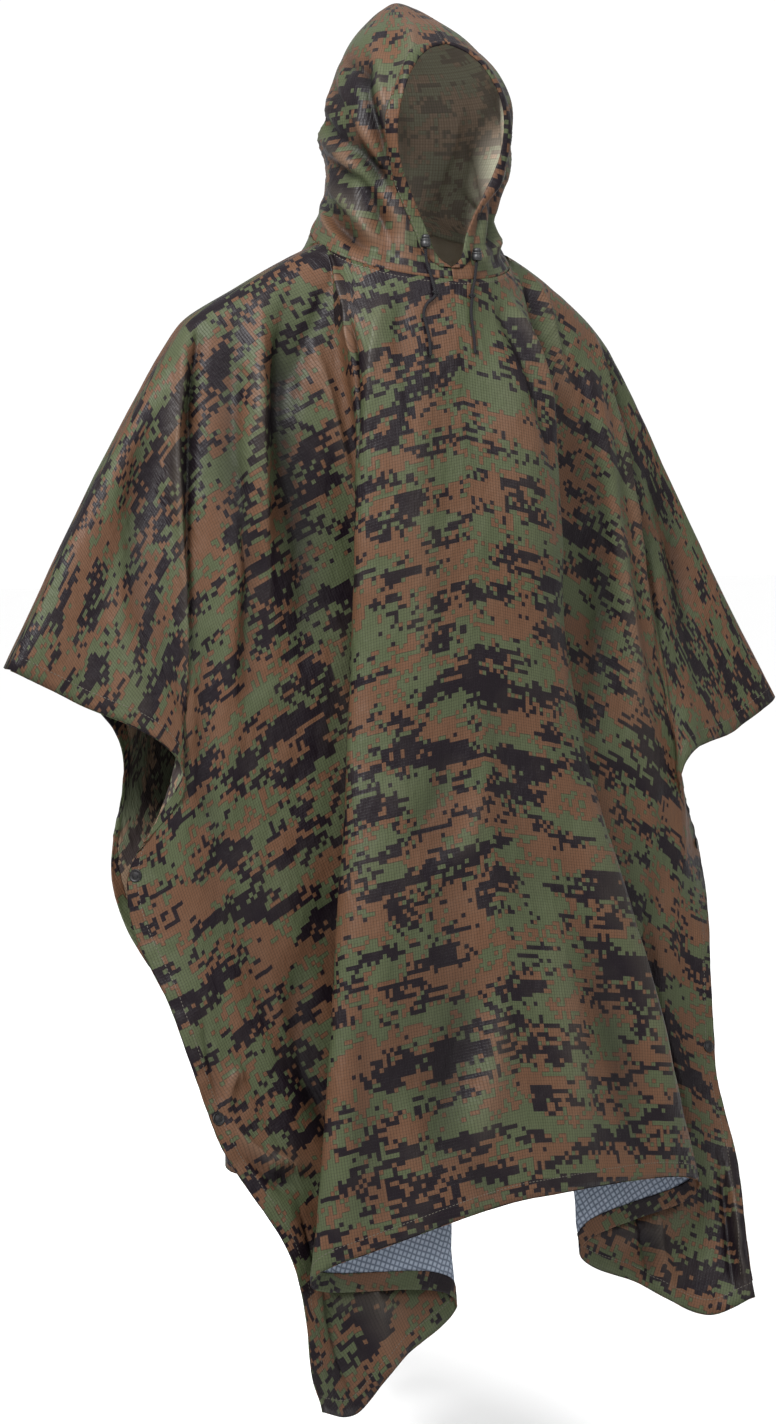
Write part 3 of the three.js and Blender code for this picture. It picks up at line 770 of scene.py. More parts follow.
# Each crease: side (0 is both), half width, height, and its places as (across, down)
FRONT_CREASES = [
    # where the main folds and the shoulders gather at the neck
    (-1, 9, -6, [(1.55, 0.42), (1.1, 0.75), (1.05, 1.5)]),
    (-1, 9, 5.5, [(1.9, 0.22), (1.4, 0.5), (1.2, 0.9)]),
    (-1, 8, 4, [(0.62, 0.04), (0.78, 0.6), (0.9, 1.3)]),
    (-1, 7, -3, [(0.5, 0.1), (0.55, 0.7), (0.48, 1.5)]),
    (-1, 10, -4.5, [(2.05, 0.45), (2.45, 0.8), (2.75, 1.2)]),
    (-1, 8, 4.5, [(2.4, 0.7), (2.22, 1.18), (2.1, 1.7)]),
    (1, 9, 5, [(0.68, 0.05), (0.76, 0.5), (0.98, 1.3)]),
    (1, 9, -4.5, [(0.5, 0.15), (0.6, 0.7), (0.78, 1.7)]),
    (1, 9, 4.5, [(2.3, 0.25), (2.5, 0.5), (2.8, 1.3)]),
    (1, 8, -3.5, [(2.15, 0.3), (2.3, 0.8), (2.4, 1.8)]),
    # the flanks and the arms
    (-1, 13, -8, [(2.73, 0.55), (2.73, 1.23), (2.6, 1.86), (2.6, 2.6)]),
    (-1, 11, 5.5, [(3.0, 0.4), (3.02, 1.2), (2.86, 1.9), (2.82, 2.8)]),
    (-1, 14, -7, [(3.36, 0.5), (3.34, 1.27), (3.0, 1.95), (2.98, 2.7)]),
    (-1, 9, 8, [(4.11, 0.12), (4.11, 1.05), (4.16, 1.68), (4.4, 2.1)]),
    (-1, 12, -8, [(3.92, 0.15), (3.95, 1.0), (4.0, 1.8)]),
    (-1, 7, 3, [(4.55, 0.8), (4.75, 1.2), (4.9, 1.6)]),
    (-1, 9, -3.5, [(4.4, 0.35), (4.5, 0.9), (4.62, 1.4)]),
    (-1, 10, -4, [(3.6, 2.2), (3.5, 3.1), (3.2, 3.9)]),
    (-1, 9, 4, [(2.4, 2.4), (2.35, 3.4), (2.5, 4.4)]),
    (1, 11, -6.5, [(3.68, 0.35), (3.87, 1.36), (4.5, 1.9)]),
    (1, 10, 5, [(3.42, 0.35), (3.56, 1.3), (3.85, 2.1)]),
    (1, 9, -3.5, [(4.35, 0.3), (4.5, 0.9), (4.8, 1.5)]),
    (1, 11, -5, [(2.9, 0.9), (2.95, 2.0), (2.7, 3.2)]),
    (1, 10, 4, [(3.1, 1.4), (3.2, 2.4), (3.0, 3.4)]),
    # the middle, down to the hem
    (-1, 7, 3, [(0.4, 4.85), (0.16, 4.6), (0.05, 4.2)]),
    (-1, 6, -2, [(0.5, 4.5), (0.3, 4.25), (0.22, 3.9)]),
    (-1, 7, 6.5, [(0.06, 5.6), (0.14, 6.1), (0.26, 6.75)]),
    (-1, 10, -5, [(0.2, 5.5), (0.3, 6.1), (0.4, 6.7)]),
    (-1, 6, 4, [(0.5, 6.1), (0.46, 6.5), (0.42, 6.9)]),
    (-1, 6, -3.5, [(0.3, 6.45), (0.22, 6.75), (0.13, 7.0)]),
    (-1, 9, -4, [(0.74, 5.0), (0.7, 6.0), (0.64, 6.9)]),
    (1, 9, 5, [(0.3, 5.1), (0.3, 6.0), (0.26, 6.9)]),
    (1, 9, -4.5, [(0.5, 5.3), (0.52, 6.2), (0.5, 6.9)]),
    (1, 8, 3.5, [(0.78, 4.4), (0.8, 5.5), (0.82, 6.6)]),
    # by the snaps and in the hanging corners
    (-1, 6, 6, [(4.72, 5.14), (4.45, 5.5), (3.6, 5.8)]),
    (-1, 6, -5, [(4.75, 5.28), (4.5, 5.62), (4.1, 5.75)]),
    (-1, 5, 3.5, [(4.7, 5.0), (4.35, 4.95), (4.0, 5.05)]),
    (-1, 5, -3, [(4.72, 5.0), (4.66, 4.6), (4.55, 4.3)]),
    (-1, 8, -4.5, [(4.3, 5.9), (4.2, 6.4), (3.9, 6.9)]),
    (-1, 9, 5, [(3.4, 5.9), (3.3, 6.4), (3.2, 6.95)]),
    (-1, 8, 5, [(4.5, 6.3), (3.6, 6.5), (2.7, 6.85)]),
    (-1, 9, -4, [(2.7, 4.6), (3.1, 5.5), (3.0, 6.4)]),
    (1, 8, 5.5, [(2.45, 6.83), (2.98, 6.71), (3.81, 6.46)]),
    (1, 6, -5, [(2.75, 6.5), (2.95, 6.72), (3.25, 6.95)]),
    (1, 5, 4, [(2.95, 6.4), (3.15, 6.65), (3.45, 6.95)]),
    (1, 6, 5, [(4.72, 6.0), (4.8, 6.4), (4.86, 6.95)]),
    (1, 7, -4, [(4.55, 6.0), (4.6, 6.5), (4.6, 6.95)]),
    (1, 9, -4.5, [(3.2, 4.6), (3.5, 5.5), (3.7, 6.3)]),
    (1, 8, 4, [(2.6, 4.3), (2.9, 5.2), (3.1, 6.1)]),
]
BACK_CREASES = [
    (-1, 10, -5.5, [(0.45, 0.15), (0.55, 1.1), (0.6, 2.3)]),
    (1, 9, -4.5, [(0.35, 0.2), (0.3, 1.3), (0.34, 2.7)]),
    (0, 9, 4, [(0.78, 0.15), (0.85, 0.9), (0.95, 1.8)]),
    (-1, 12, -5, [(0.15, 2.3), (0.24, 4.0), (0.32, 6.3)]),
    (1, 11, 4.5, [(0.62, 2.8), (0.55, 4.6), (0.5, 6.7)]),
    (-1, 10, -4, [(0.8, 3.2), (0.85, 5.0), (0.9, 6.8)]),
    (1, 9, -4, [(0.2, 4.6), (0.14, 5.8), (0.16, 6.9)]),
    (-1, 12, -6.5, [(2.35, 0.5), (2.5, 1.8), (2.45, 3.7)]),
    (1, 12, -6.5, [(2.6, 0.7), (2.5, 2.2), (2.4, 4.4)]),
    (-1, 10, 5, [(3.25, 0.35), (3.4, 1.4), (3.62, 2.6)]),
    (1, 10, -5, [(3.45, 0.4), (3.35, 1.4), (3.2, 2.5)]),
    (1, 10, 4.5, [(3.0, 0.5), (2.9, 1.6), (2.85, 2.8)]),
    (0, 8, -4, [(4.35, 0.3), (4.5, 0.9), (4.68, 1.5)]),
    (0, 9, 5.5, [(4.08, 0.15), (4.1, 0.9), (4.2, 1.7)]),
    (-1, 8, -4, [(4.8, 3.1), (4.4, 3.3), (4.0, 3.7)]),
    (1, 8, -4, [(4.8, 3.0), (4.3, 3.2), (3.9, 3.5)]),
    (-1, 11, -5, [(2.9, 4.1), (3.15, 5.3), (3.3, 6.7)]),
    (1, 11, 5, [(3.45, 4.3), (3.3, 5.4), (3.1, 6.8)]),
    (-1, 7, -4, [(4.85, 4.9), (4.5, 5.2), (4.0, 5.5)]),
    (1, 7, -4, [(4.85, 4.9), (4.4, 5.1), (3.9, 5.3)]),
    (-1, 8, 4, [(3.9, 5.7), (3.8, 6.3), (3.6, 6.9)]),
    (1, 9, -4, [(2.4, 5.0), (2.6, 5.9), (2.5, 6.9)]),
]


def along_and_away(across, down, places, step=TABLE_STEP):
    """For each place: the share of the way along a bent line, and the distance from it in mm."""
    x, y = across * step[0], down * step[1]
    places = [(a * step[0], b * step[1]) for a, b in places]
    lengths = [math.dist(a, b) for a, b in zip(places, places[1:])]
    along = np.zeros_like(x)
    away = np.full_like(x, 1e9)
    passed = 0.0
    for start, end, length in zip(places, places[1:], lengths):
        ax, ay = end[0] - start[0], end[1] - start[1]
        share = np.clip(((x - start[0]) * ax + (y - start[1]) * ay) / (length * length), 0, 1)
        distance = np.hypot(x - start[0] - ax * share, y - start[1] - ay * share)
        along = np.where(distance < away, (passed + share * length) / sum(lengths), along)
        away = np.minimum(distance, away)
        passed += length
    return along, away


def crease_profile(along, away, half_width):
    """1 on the crest of a crease, falling off steeply at first; it fades in and out at the ends."""
    rounded = np.sqrt(away**2 + (0.3 * half_width) ** 2) - 0.3 * half_width
    return np.exp(-rounded / half_width) * np.sin(math.pi * np.clip(along, 0.04, 0.96)) ** 0.6


def soft_profile(away, half_width):
    """1 on the crest of a soft fold, falling off like a bell."""
    return np.exp(-((away / half_width) ** 2) * 1.4)


def fold_heights(folds, column, row):
    """The solids' soft folds, in mm."""
    total = np.zeros_like(column)
    for half_width, height, places in folds:
        along, away = along_and_away(column, row, places)
        ends = 0.25 + 0.75 * np.sin(math.pi * np.minimum(1, along * 0.9 + 0.08))
        total += height * soft_profile(away, half_width) * ends
    return total


CREASE_DEPTH = 2.3  # deepens all body creases at once, for the cloth's stiffness
CORD_ROOM = 8  # mm beside a cord where the cloth keeps the solids' surface
CORD_FADE = 14


def crease_heights(creases, sides, column, row):
    """The cloth's sharper creases, in mm."""
    total = np.zeros_like(column)
    for side, half_width, height, places in creases:
        along, away = along_and_away(column, row, places)
        here = 1.0 if side == 0 else (sides == side)
        total += height * crease_profile(along, away, half_width) * here
    return total * CREASE_DEPTH


def clear_of_cords(points):
    """0 beside the cords and their locks, where the cloth keeps the solids' surface, and 1 away from them."""
    near = [path for _, path in cords.values()] + [np.array([place]) * MM for place in LOCK_PLACES.values()]
    spots = np.concatenate([path[::3] for path in near]) / MM
    share = np.ones(points.shape[:2])
    for spot in spots:
        share = np.minimum(share, smooth((np.linalg.norm(points - spot, axis=-1) - CORD_ROOM) / CORD_FADE))
    return share


def slow_noise(across, along, scale_across, scale_along, seed):
    """Even, unsharp unevenness from -1 to 1 at each place of the flat cloth."""
    places = np.stack([across / scale_across, along / scale_along], axis=-1).reshape(-1, 2)
    values = [noise.noise(Vector((x, y, seed))) for x, y in places]
    return np.array(values).reshape(across.shape)


print("creases:", len(FRONT_CREASES), "in front,", len(BACK_CREASES), "behind")

# %% [markdown]
# ## Laying the cloth flat
#
# The print is put on the flat cloth, so each point of the hanging cloth needs its place on the flat one. A
# first guess counts lengths along rows and columns. Then neighbouring places are pushed until their distances
# are those in space, first on a coarse grid and then on finer ones. The shoulder line stays straight and the
# middle stays upright, as they are cut. The print then turns with the sleeves and the hanging corners.

# %% Flatten a grid of points
def resample(values, rows, columns, new_rows, new_columns):
    """Values on one grid, read off at another grid's row and column numbers."""
    down = read_off(new_rows, rows, values)
    return read_off(new_columns, columns, down.T).T


def link(down, across):
    """Two slices of a grid that pair each point with the one so many rows down and columns across."""
    ahead = (slice(down, None), slice(max(across, 0), min(across, 0) or None))
    behind = (slice(None, -down or None), slice(max(-across, 0), min(-across, 0) or None))
    return ahead, behind


LINKS = [link(0, 1), link(1, 0), link(1, 1), link(1, -1)]
LONG_LINKS = [link(2, 0), link(0, 2)]  # over one point, so that the cloth can't fold back on itself
PUSH = 0.16
LAYING = ((16, 300), (8, 250), (4, 200), (2, 120))  # every how many points, and rounds of pushing


def straight_rest(space, axis):
    """Length from each point over the next one to the one after that, as it is on unfolded cloth."""
    steps = np.linalg.norm(np.diff(space, axis=axis), axis=-1)
    ahead, behind = link(1, 0) if axis == 0 else link(0, 1)
    return steps[ahead] + steps[behind]


def relax(flat, space, held, rounds):
    """Moves flat places until their distances are those in space; held ones stay."""
    rests = [np.linalg.norm(space[a] - space[b], axis=-1) for a, b in LINKS]
    rests += [straight_rest(space, axis) for axis in (0, 1)]
    kept = flat[held].copy()
    for _ in range(rounds):
        move = np.zeros_like(flat)
        for (a, b), rest in zip(LINKS + LONG_LINKS, rests):
            gap = flat[a] - flat[b]
            length = np.maximum(np.linalg.norm(gap, axis=-1), 1e-6)
            push = gap * (rest / length - 1)[..., None]
            move[a] += push
            move[b] -= push
        flat += PUSH * 0.5 * move
        flat[held] = kept
    return flat


def some_of(count, pieces):
    """Numbers from 0 to the last, about evenly spaced."""
    return np.unique(np.round(np.linspace(0, count - 1, pieces)).astype(int))


def lay_flat(space, guess, held):
    """Flat places of a whole grid, found on ever finer grids."""
    height, width = space.shape[:2]
    flat = guess.copy()
    for stride, rounds in LAYING:
        rows = some_of(height, max(3, height // stride))
        columns = some_of(width, max(5, width // stride | 1))
        pick = np.ix_(rows, columns)
        change = relax(flat[pick].copy(), space[pick], held[pick], rounds) - flat[pick]
        numbers = (rows, columns, np.arange(height), np.arange(width))
        flat = flat + np.stack([resample(change[..., k], *numbers) for k in range(2)], axis=-1)
    return flat


def arc(points, axis):
    """Length along each line of a grid, from its start."""
    steps = np.linalg.norm(np.diff(points, axis=axis), axis=-1)
    total = np.cumsum(steps, axis=axis)
    return np.insert(total, 0, 0, axis=axis)


NECK_SEAM_SHARE = 2  # the first two stretches of the top edge lie round the neck


def panel_flat(points, middle, column_places):
    """Flat places of one panel in metres: across from the middle, and down from the shoulder line."""
    from_right = arc(points, 1)
    across = from_right - from_right[:, middle : middle + 1]
    neck_width = NECK["half_width"] * MM
    neck_depth = NECK["half_depth"] * MM
    round_neck = np.minimum(np.abs(across[0]), neck_width) / neck_width
    neck = np.sqrt(np.maximum(0, 1 - round_neck**2)) * neck_depth
    on_ridge = column_places >= NECK_SEAM_SHARE
    side = np.sign(np.arange(points.shape[1]) - middle)
    edge_start = np.abs(across[0])[on_ridge].min()
    across[0] = np.where(on_ridge, side * (neck_width + np.abs(across[0]) - edge_start), across[0])
    down = arc(points, 0) + np.where(on_ridge, 0, neck)[None]
    guess = np.stack([across, down], axis=-1)
    held = np.zeros(across.shape, bool)
    held[0, on_ridge] = True
    held[:, middle] = True
    return lay_flat(points, guess, held)


# %% Build both panels
FRONT_ACROSS = spread([28, 26, 26, 17, 26])
FRONT_DOWN = spread([19, 22, 22, 22, 22, 22, 24], 0.0)
BACK_ACROSS = spread([22, 18, 18, 13, 22])
BACK_DOWN = spread([16, 18, 18, 18, 18, 18, 20], 0.0)
WRINKLE = {"height": 3.2, "across": 0.05, "along": 0.17}
CRUMPLE = {"height": 1.5, "across": 0.022, "along": 0.05}
# gathers that a row of stitches pulls in: they start and end at these distances from it
PUCKER = {"height": 2.6, "spacing": 0.011, "run": 0.09, "start": 0.004, "reach": 0.03}
SOFT_SHADE = 0.4  # a soft fold gets less painted shade and painted highlight than a sharp crease of its height
SHOULDER_CALM = 0.5  # rows of the table over which creases rise from nothing


def pucker_heights(points, flat, columns, seed):
    """Small gathers along the hem, the side edges and the neck seam, in mm."""
    down, across = arc(points, 0), arc(points, 1)
    sewn = [  # distance from the row of stitches, number of its noise, place along it
        (down[-1] - down, 0.3, flat[..., 0]),
        (np.minimum(across, across[:, -1:] - across), 0.6, flat[..., 1]),
        (np.where(columns < NECK_SEAM_SHARE, down, 1.0), 0.9, flat[..., 0]),
    ]
    total = np.zeros_like(columns)
    for distance, number, run in sewn:
        ripple = slow_noise(run, distance, PUCKER["spacing"], PUCKER["run"], seed + number)
        reach = smooth(distance / PUCKER["start"]) * np.exp(-((distance / PUCKER["reach"]) ** 2))
        total += PUCKER["height"] * ripple * reach
    return total


def both_halves(half, column, row):
    """The whole panel from its left half: points, column numbers, and -1 or 1 for the side of each point."""
    left = pose(half, 1, column, row)
    right = pose(half, -1, column, row)[:, :0:-1]
    sides = np.where(np.arange(2 * len(column) - 1) < len(column) - 1, -1.0, 1.0)
    return np.concatenate([right, left], axis=1), np.concatenate([column[:0:-1], column]), sides


def build_panel(table, bends, facing, folds, creases, across, downwards, seed):
    """One panel: its points in metres, its flat places, its outward normals and its crease heights."""
    row = downwards.sum(axis=1)
    half = half_panel(table, bends, facing, across, downwards)
    points, column, sides = both_halves(half, across.sum(axis=1), row)
    columns, rows = np.meshgrid(column, row)
    calm = smooth(rows) * smooth((len(DOWN) - 1 - rows) * 2 + 0.4)
    soft_height = fold_heights(folds, columns, rows) * calm
    points += normals(points, facing < 0) * soft_height[..., None]
    flat = panel_flat(points * MM, len(across) - 1, column)
    height = crease_heights(creases, sides[None], columns, rows)
    for wave, number in ((WRINKLE, seed), (CRUMPLE, seed + 9)):
        ripple = slow_noise(flat[..., 0], flat[..., 1], wave["across"], wave["along"], number)
        height += wave["height"] * ripple
    height = height * smooth(rows / SHOULDER_CALM) + pucker_heights(points * MM, flat, columns, seed)
    points += normals(points, facing < 0) * (height * clear_of_cords(points))[..., None]
    return {
        "points": points * MM, "flat": flat, "out": normals(points, facing < 0), "column": column, "row": row,
        "fold": height + SOFT_SHADE * soft_height,
    }


front = build_panel(FRONT_LINES, FRONT_BENDS, -1, FRONT_FOLDS, FRONT_CREASES, FRONT_ACROSS, FRONT_DOWN, 1.0)
back = build_panel(BACK_LINES, BACK_BENDS, 1, BACK_FOLDS, BACK_CREASES, BACK_ACROSS, BACK_DOWN, 5.0)
for title, panel in (("front", front), ("back", back)):
    size = np.ptp(panel["flat"].reshape(-1, 2), axis=0)
    print(title, "grid", panel["points"].shape[:2], "flat size", size.round(3))

# %% [markdown]
# ## From a grid to a piece of cloth
#
# A grid of points becomes a mesh of quads with the flat places as its UV map. Solidify gives it the thickness
# of coated nylon, inwards, and puts the coating's finish on the inside.

# %% Make the cloth pieces
CLOTH_THICKNESS = 0.6 * MM


def grid_faces(rows, columns, outward):
    number = np.arange(rows * columns).reshape(rows, columns)
    faces = np.stack([number[:-1, :-1], number[1:, :-1], number[1:, 1:], number[:-1, 1:]], axis=-1)
    faces = faces.reshape(-1, 4)
    return faces if outward else faces[:, ::-1]


def new_mesh(name, points, faces, flat=None, finishes=(), fold=None):
    """A smooth mesh object with an optional UV map and optional crease heights."""
    mesh = bpy.data.meshes.new(name)
    mesh.from_pydata(np.asarray(points).reshape(-1, 3).tolist(), [], [list(map(int, face)) for face in faces])
    if flat is not None:
        corners = np.zeros(len(mesh.loops), int)
        mesh.loops.foreach_get("vertex_index", corners)
        layer = mesh.uv_layers.new(name="flat")
        layer.data.foreach_set("uv", np.asarray(flat).reshape(-1, 2)[corners].ravel())
    if fold is not None:
        mesh.attributes.new("fold", "FLOAT", "POINT").data.foreach_set("value", np.asarray(fold).ravel())
    mesh.polygons.foreach_set("use_smooth", [True] * len(mesh.polygons))
    for finish in finishes:
        mesh.materials.append(finish)
    return add_object(name, mesh)


def thicken(thing, thickness, offset=-1.0, inside=1):
    wall = thing.modifiers.new("wall", "SOLIDIFY")
    wall.thickness = thickness
    wall.offset = offset
    wall.material_offset = inside
    return thing


def merge_close(thing, distance=0.00001):
    work = bmesh.new()
    work.from_mesh(thing.data)
    bmesh.ops.remove_doubles(work, verts=work.verts, dist=distance)
    work.to_mesh(thing.data)
    work.free()


def settle(thing, slot, *nodes):
    """Rides on the one body and stands for CAD nodes, which it hides. The slot is not used."""
    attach(thing, "root")
    if nodes:
        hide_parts(*nodes)
    return thing


pieces = {}
PANELS = {"front": (front, True), "back": (back, False)}


def make_cloth(name, grid, flat, outward, inside, node):
    """The thin cloth over one solid, printed outside and coated inside."""
    faces = grid_faces(*grid["points"].shape[:2], outward)
    cloth = new_mesh(f"{name}_cloth", grid["points"], faces, flat, (printed_nylon, inside), grid["fold"])
    merge_close(cloth)
    thicken(cloth, CLOTH_THICKNESS)
    pieces[name] = settle(cloth, "shell_cloth", node)
    print(cloth.name, len(faces), "quads")


for title, (panel, outward) in PANELS.items():
    flat = panel["flat"] * (1, -1 if outward else 1)
    make_cloth(title, panel, flat, outward, body_inside, f"{title}_panel")

# %% [markdown]
# ## Hems
#
# Every edge of the sheet is turned in by 20 mm and sewn. From outside the hem shows as a row of stitches and
# a slightly fuller edge; from inside the turned strip shows the printed side again. Each strip is read off
# the panel's own grid, at distances from the edge, and rounds under the panel's raw edge.

# %% Strips along an edge
STRIP_THICKNESS = 0.4 * MM
# distance from the edge, and depth under the outer face, from the strip's free edge round the fold
HEM_SECTION = [
    (20, 1.5), (19, 1.7), (15, 1.45), (9, 1.35), (3, 1.4),
    (0.4, 1.5), (-0.7, 1.15), (-0.9, 0.6), (-0.5, 0.15),
]


def edge_lines(panel, edge):
    """Grid lines that end at an edge, as arrays that run towards it: points, normals and flat places."""
    turns = {
        "hem": lambda grid: grid.transpose(1, 0, 2),
        "right": lambda grid: grid[:, ::-1],
        "left": lambda grid: grid,
    }
    return [turns[edge](panel[key]) for key in ("points", "out", "flat")]


def at_distance(lines, distance, depth):
    """For each grid line, the point at a distance from its end, moved in by depth, and its flat place."""
    places, sheet = [], []
    inner = max(distance, 0)
    for line, normal, uv in zip(*lines):
        from_end = lengths_along(line[::-1])
        point, away, place = [read_off(inner, from_end, values[::-1]) for values in (line, normal, uv)]
        if distance < 0:
            point = point + unit(line[-1] - line[-2]) * -distance
        places.append(point - unit(away) * depth)
        sheet.append(place)
    return np.array(places), np.array(sheet)


def strip_grid(lines, section):
    """Points and flat places of a strip, from the distances and depths in mm of its section."""
    rings = [at_distance(lines, distance * MM, depth * MM) for distance, depth in section]
    return [np.array(part) for part in zip(*rings)]


def hem_strip(name, panel, edge, outward, skip=0):
    """The turned strip along one edge, without the first and last few grid lines."""
    lines = [grid[skip : len(grid) - skip] for grid in edge_lines(panel, edge)]
    points, flat = strip_grid(lines, HEM_SECTION)
    faces = grid_faces(*points.shape[:2], outward == (edge == "left"))
    strip = new_mesh(name, points, faces, flat, (printed_nylon, printed_nylon))
    thicken(strip, STRIP_THICKNESS, offset=0.0, inside=0)
    return settle(strip, "hem_cloth", name.replace("_turned", ""))


for title, (panel, outward) in PANELS.items():
    pieces[f"{title}_hem"] = hem_strip(f"{title}_hem_turned", panel, "hem", outward)
    for edge in ("right", "left"):
        name = f"{title}_side_hem_{edge}"
        pieces[name] = hem_strip(f"{name}_turned", panel, edge, outward, skip=3)
print("hems:", [name for name in pieces if "hem" in name])

# %% [markdown]
# ## The hood
#
# The hood is two mirrored halves with a seam over the crown. Its rings are egg shaped and lean with the neck
# seam at the bottom. From the chin up they open round the face. Folds run from the cord locks over the cheeks.

# %% Rings and folds of the hood, in millimetres
HOOD_RINGS = np.array(
    [  # up, half width, half depth, middle fore, half width of the face opening
        [17, 125, 98, 20, 0],
        [27.5, 118, 98, 24, 0],
        [32.7, 114, 97, 26, 12],
        [50.3, 107, 95, 28, 27],
        [75.4, 104, 96, 23, 48],
        [106, 107, 100, 12, 64],
        [148, 111, 105, 5, 71],
        [182, 109, 104, 5, 64],
        [206, 101, 98, 8, 52],
        [226, 91, 91, 13, 36],
        [237, 83, 85, 17, 19],
        [243, 79, 82, 20, 0],
        [262, 64, 69, 29, 0],
        [281, 44, 48, 40, 0],
        [299, 21, 24, 50, 0],
        [309, 0, 0, 56, 0],
    ],
    float,
)
HOOD_STEPS_UP = 6  # rings between two rows of the table
HOOD_STEPS_ROUND = 96
HOOD_TILT_GONE = 90
HOOD_RADIUS = 110
CROWN_FROM, CHIN_TO = 242.9, 27.51  # above and below them the rings are closed
SEAM_HALF_GAP = 0.2
NECK_GAP = 1.0
SEAM_ALLOWANCE = 7
HOOD_CREASE_DEPTH = 1.65
HOOD_TROUGH = 2.0  # the hood's narrow creases let in less light for their depth than the body's
HOOD_WRINKLE = {"height": 0.5, "across": 0.02, "along": 0.05}
HOOD_GATHER = {"height": 1.6, "across": 0.012, "along": 0.05, "up": 24, "reach": 16}  # by the neck seam
# where the hood's creases are gone, and over how much they fade: by height, or by degrees from the front
QUIET = {"neck": (21, 24), "crown": (300, 60), "face": (4, 12), "back seam": (178, 10)}
# half width, height, and both ends as (degrees from the front, up)
HOOD_FOLDS = [
    (15, 7, [(28, 28), (62, 235)]),
    (14, -6, [(38, 22), (84, 205)]),
    (15, 7, [(44, 30), (104, 185)]),
    (14, -6, [(52, 20), (128, 120)]),
    (13, 6, [(60, 18), (118, 66)]),
]
# side (0 is both), half width, height, and places as (degrees, up)
HOOD_CREASES = [
    (-1, 9, -9, [(67, 226), (57, 160), (44, 96), (24, 60)]),
    (-1, 9, 6, [(26, 292), (38, 165), (36, 108), (24, 68)]),
    (-1, 9, 7, [(92, 205), (63, 136), (42, 90), (26, 62)]),
    (-1, 8, -8, [(116, 171), (70, 120), (42, 80), (27, 56)]),
    (-1, 8, 6.5, [(118, 146), (68, 103), (45, 70), (29, 51)]),
    (-1, 7, -7, [(110, 120), (63, 86), (48, 58), (34, 46)]),
    (-1, 8, 6, [(114, 97), (71, 63), (50, 44), (34, 36)]),
    (-1, 6, -5.5, [(114, 75), (78, 42), (54, 33), (34, 30)]),
    (-1, 8, -5, [(111, 213), (76, 166), (67, 128)]),
    (-1, 7, -4, [(103, 238), (62, 206), (50, 200)]),
    (-1, 6, 3.5, [(56, 220), (49, 166), (44, 122)]),
    (-1, 7, 4, [(96, 180), (124, 130), (140, 90)]),
    (-1, 6, 4, [(100, 60), (84, 36), (70, 28)]),
    (1, 7, -6, [(58, 100), (32, 68), (18, 50)]),
    (1, 7, 5, [(62, 120), (34, 82), (20, 60)]),
    (1, 6, -5, [(68, 66), (40, 48), (22, 38)]),
    (1, 6, 4.5, [(70, 48), (44, 40), (24, 33)]),
    (1, 7, -5, [(38, 150), (34, 108), (26, 74)]),
    (1, 9, -6, [(74, 205), (64, 150), (56, 112)]),
    (1, 9, 5, [(96, 190), (80, 130), (66, 90)]),
    (1, 8, -6, [(120, 160), (96, 100), (74, 62)]),
    (1, 8, 5, [(136, 120), (108, 76), (82, 46)]),
    (0, 10, -5, [(150, 40), (160, 110), (165, 210)]),
    (-1, 9, 5, [(168, 50), (152, 140), (150, 240)]),
    (1, 9, 5, [(142, 40), (134, 120), (120, 200)]),
]


def fine_rings():
    """Rings on a smooth curve through the table's rows, which closes level over the crown."""
    mirrored = HOOD_RINGS[-2] * (1, -1, -1, 1, 1)
    rows = np.vstack([HOOD_RINGS, mirrored])
    steps = np.hypot(np.diff(rows[:, 0]), np.diff(rows[:, 1]))
    places = np.concatenate([[0], np.cumsum(steps)])
    rings = np.vstack(smooth_stretches(rows, places, HOOD_STEPS_UP)[:-1] + [HOOD_RINGS[-1:]])
    closed = (rings[:, 0] < CHIN_TO) | (rings[:, 0] > CROWN_FROM)
    rings[:, 4] = np.where(closed, 0, np.maximum(rings[:, 4], 0.5))
    return rings


def hood_heights(side, degrees, up):
    """The hood's soft folds and sharper creases, in mm."""
    total = np.zeros_like(degrees)
    step = (math.radians(1) * HOOD_RADIUS, 1)
    for half_width, height, places in HOOD_FOLDS:
        along, away = along_and_away(degrees, up, places, step)
        total += height * soft_profile(away, half_width) * (1 - 0.55 * along)
    for here, half_width, height, places in HOOD_CREASES:
        if here in (0, side):
            along, away = along_and_away(degrees, up, places, step)
            total += height * crease_profile(along, away, half_width) * HOOD_CREASE_DEPTH
    return total


def hood_points(side):
    """One half of the hood without its folds, in mm, and the angle and the height of each point."""
    up, half_width, half_depth, middle_fore, face = fine_rings().T
    open_angle = np.where(half_width > 0, np.arcsin(np.clip(face / np.maximum(half_width, 1e-6), 0, 1)), 0)
    share = np.linspace(0, 1, HOOD_STEPS_ROUND + 1)
    angle = open_angle[:, None] + (math.pi - open_angle[:, None]) * share[None]
    tilt = NECK["rise"] * (1 - smooth((up - NECK["middle_up"]) / (HOOD_TILT_GONE - NECK["middle_up"])))
    gap = np.where(np.arange(len(up)) == 0, NECK_GAP, 0)
    x = np.maximum(SEAM_HALF_GAP, half_width[:, None] * np.sin(angle) - gap[:, None]) * side
    y = middle_fore[:, None] - (half_depth - gap)[:, None] * np.cos(angle)
    z = up[:, None] - tilt[:, None] * np.cos(angle)
    return np.stack([x, y, z], axis=-1), np.degrees(angle), np.repeat(up[:, None], len(share), axis=1)


def seam_fall(points):
    """From the hood's lowest ring down and a little inwards, so that it lies under the body's neck edge."""
    inward = unit((0, NECK["middle_fore"], 0) - points[0] * (1, 1, 0))
    return inward * 1.4 - np.array([0, 0, SEAM_ALLOWANCE])


def fade(place, values, way=1):
    """0 at a quiet place of the hood and 1 away from it."""
    limit, reach = QUIET[place]
    return smooth((values - limit) * way / reach)


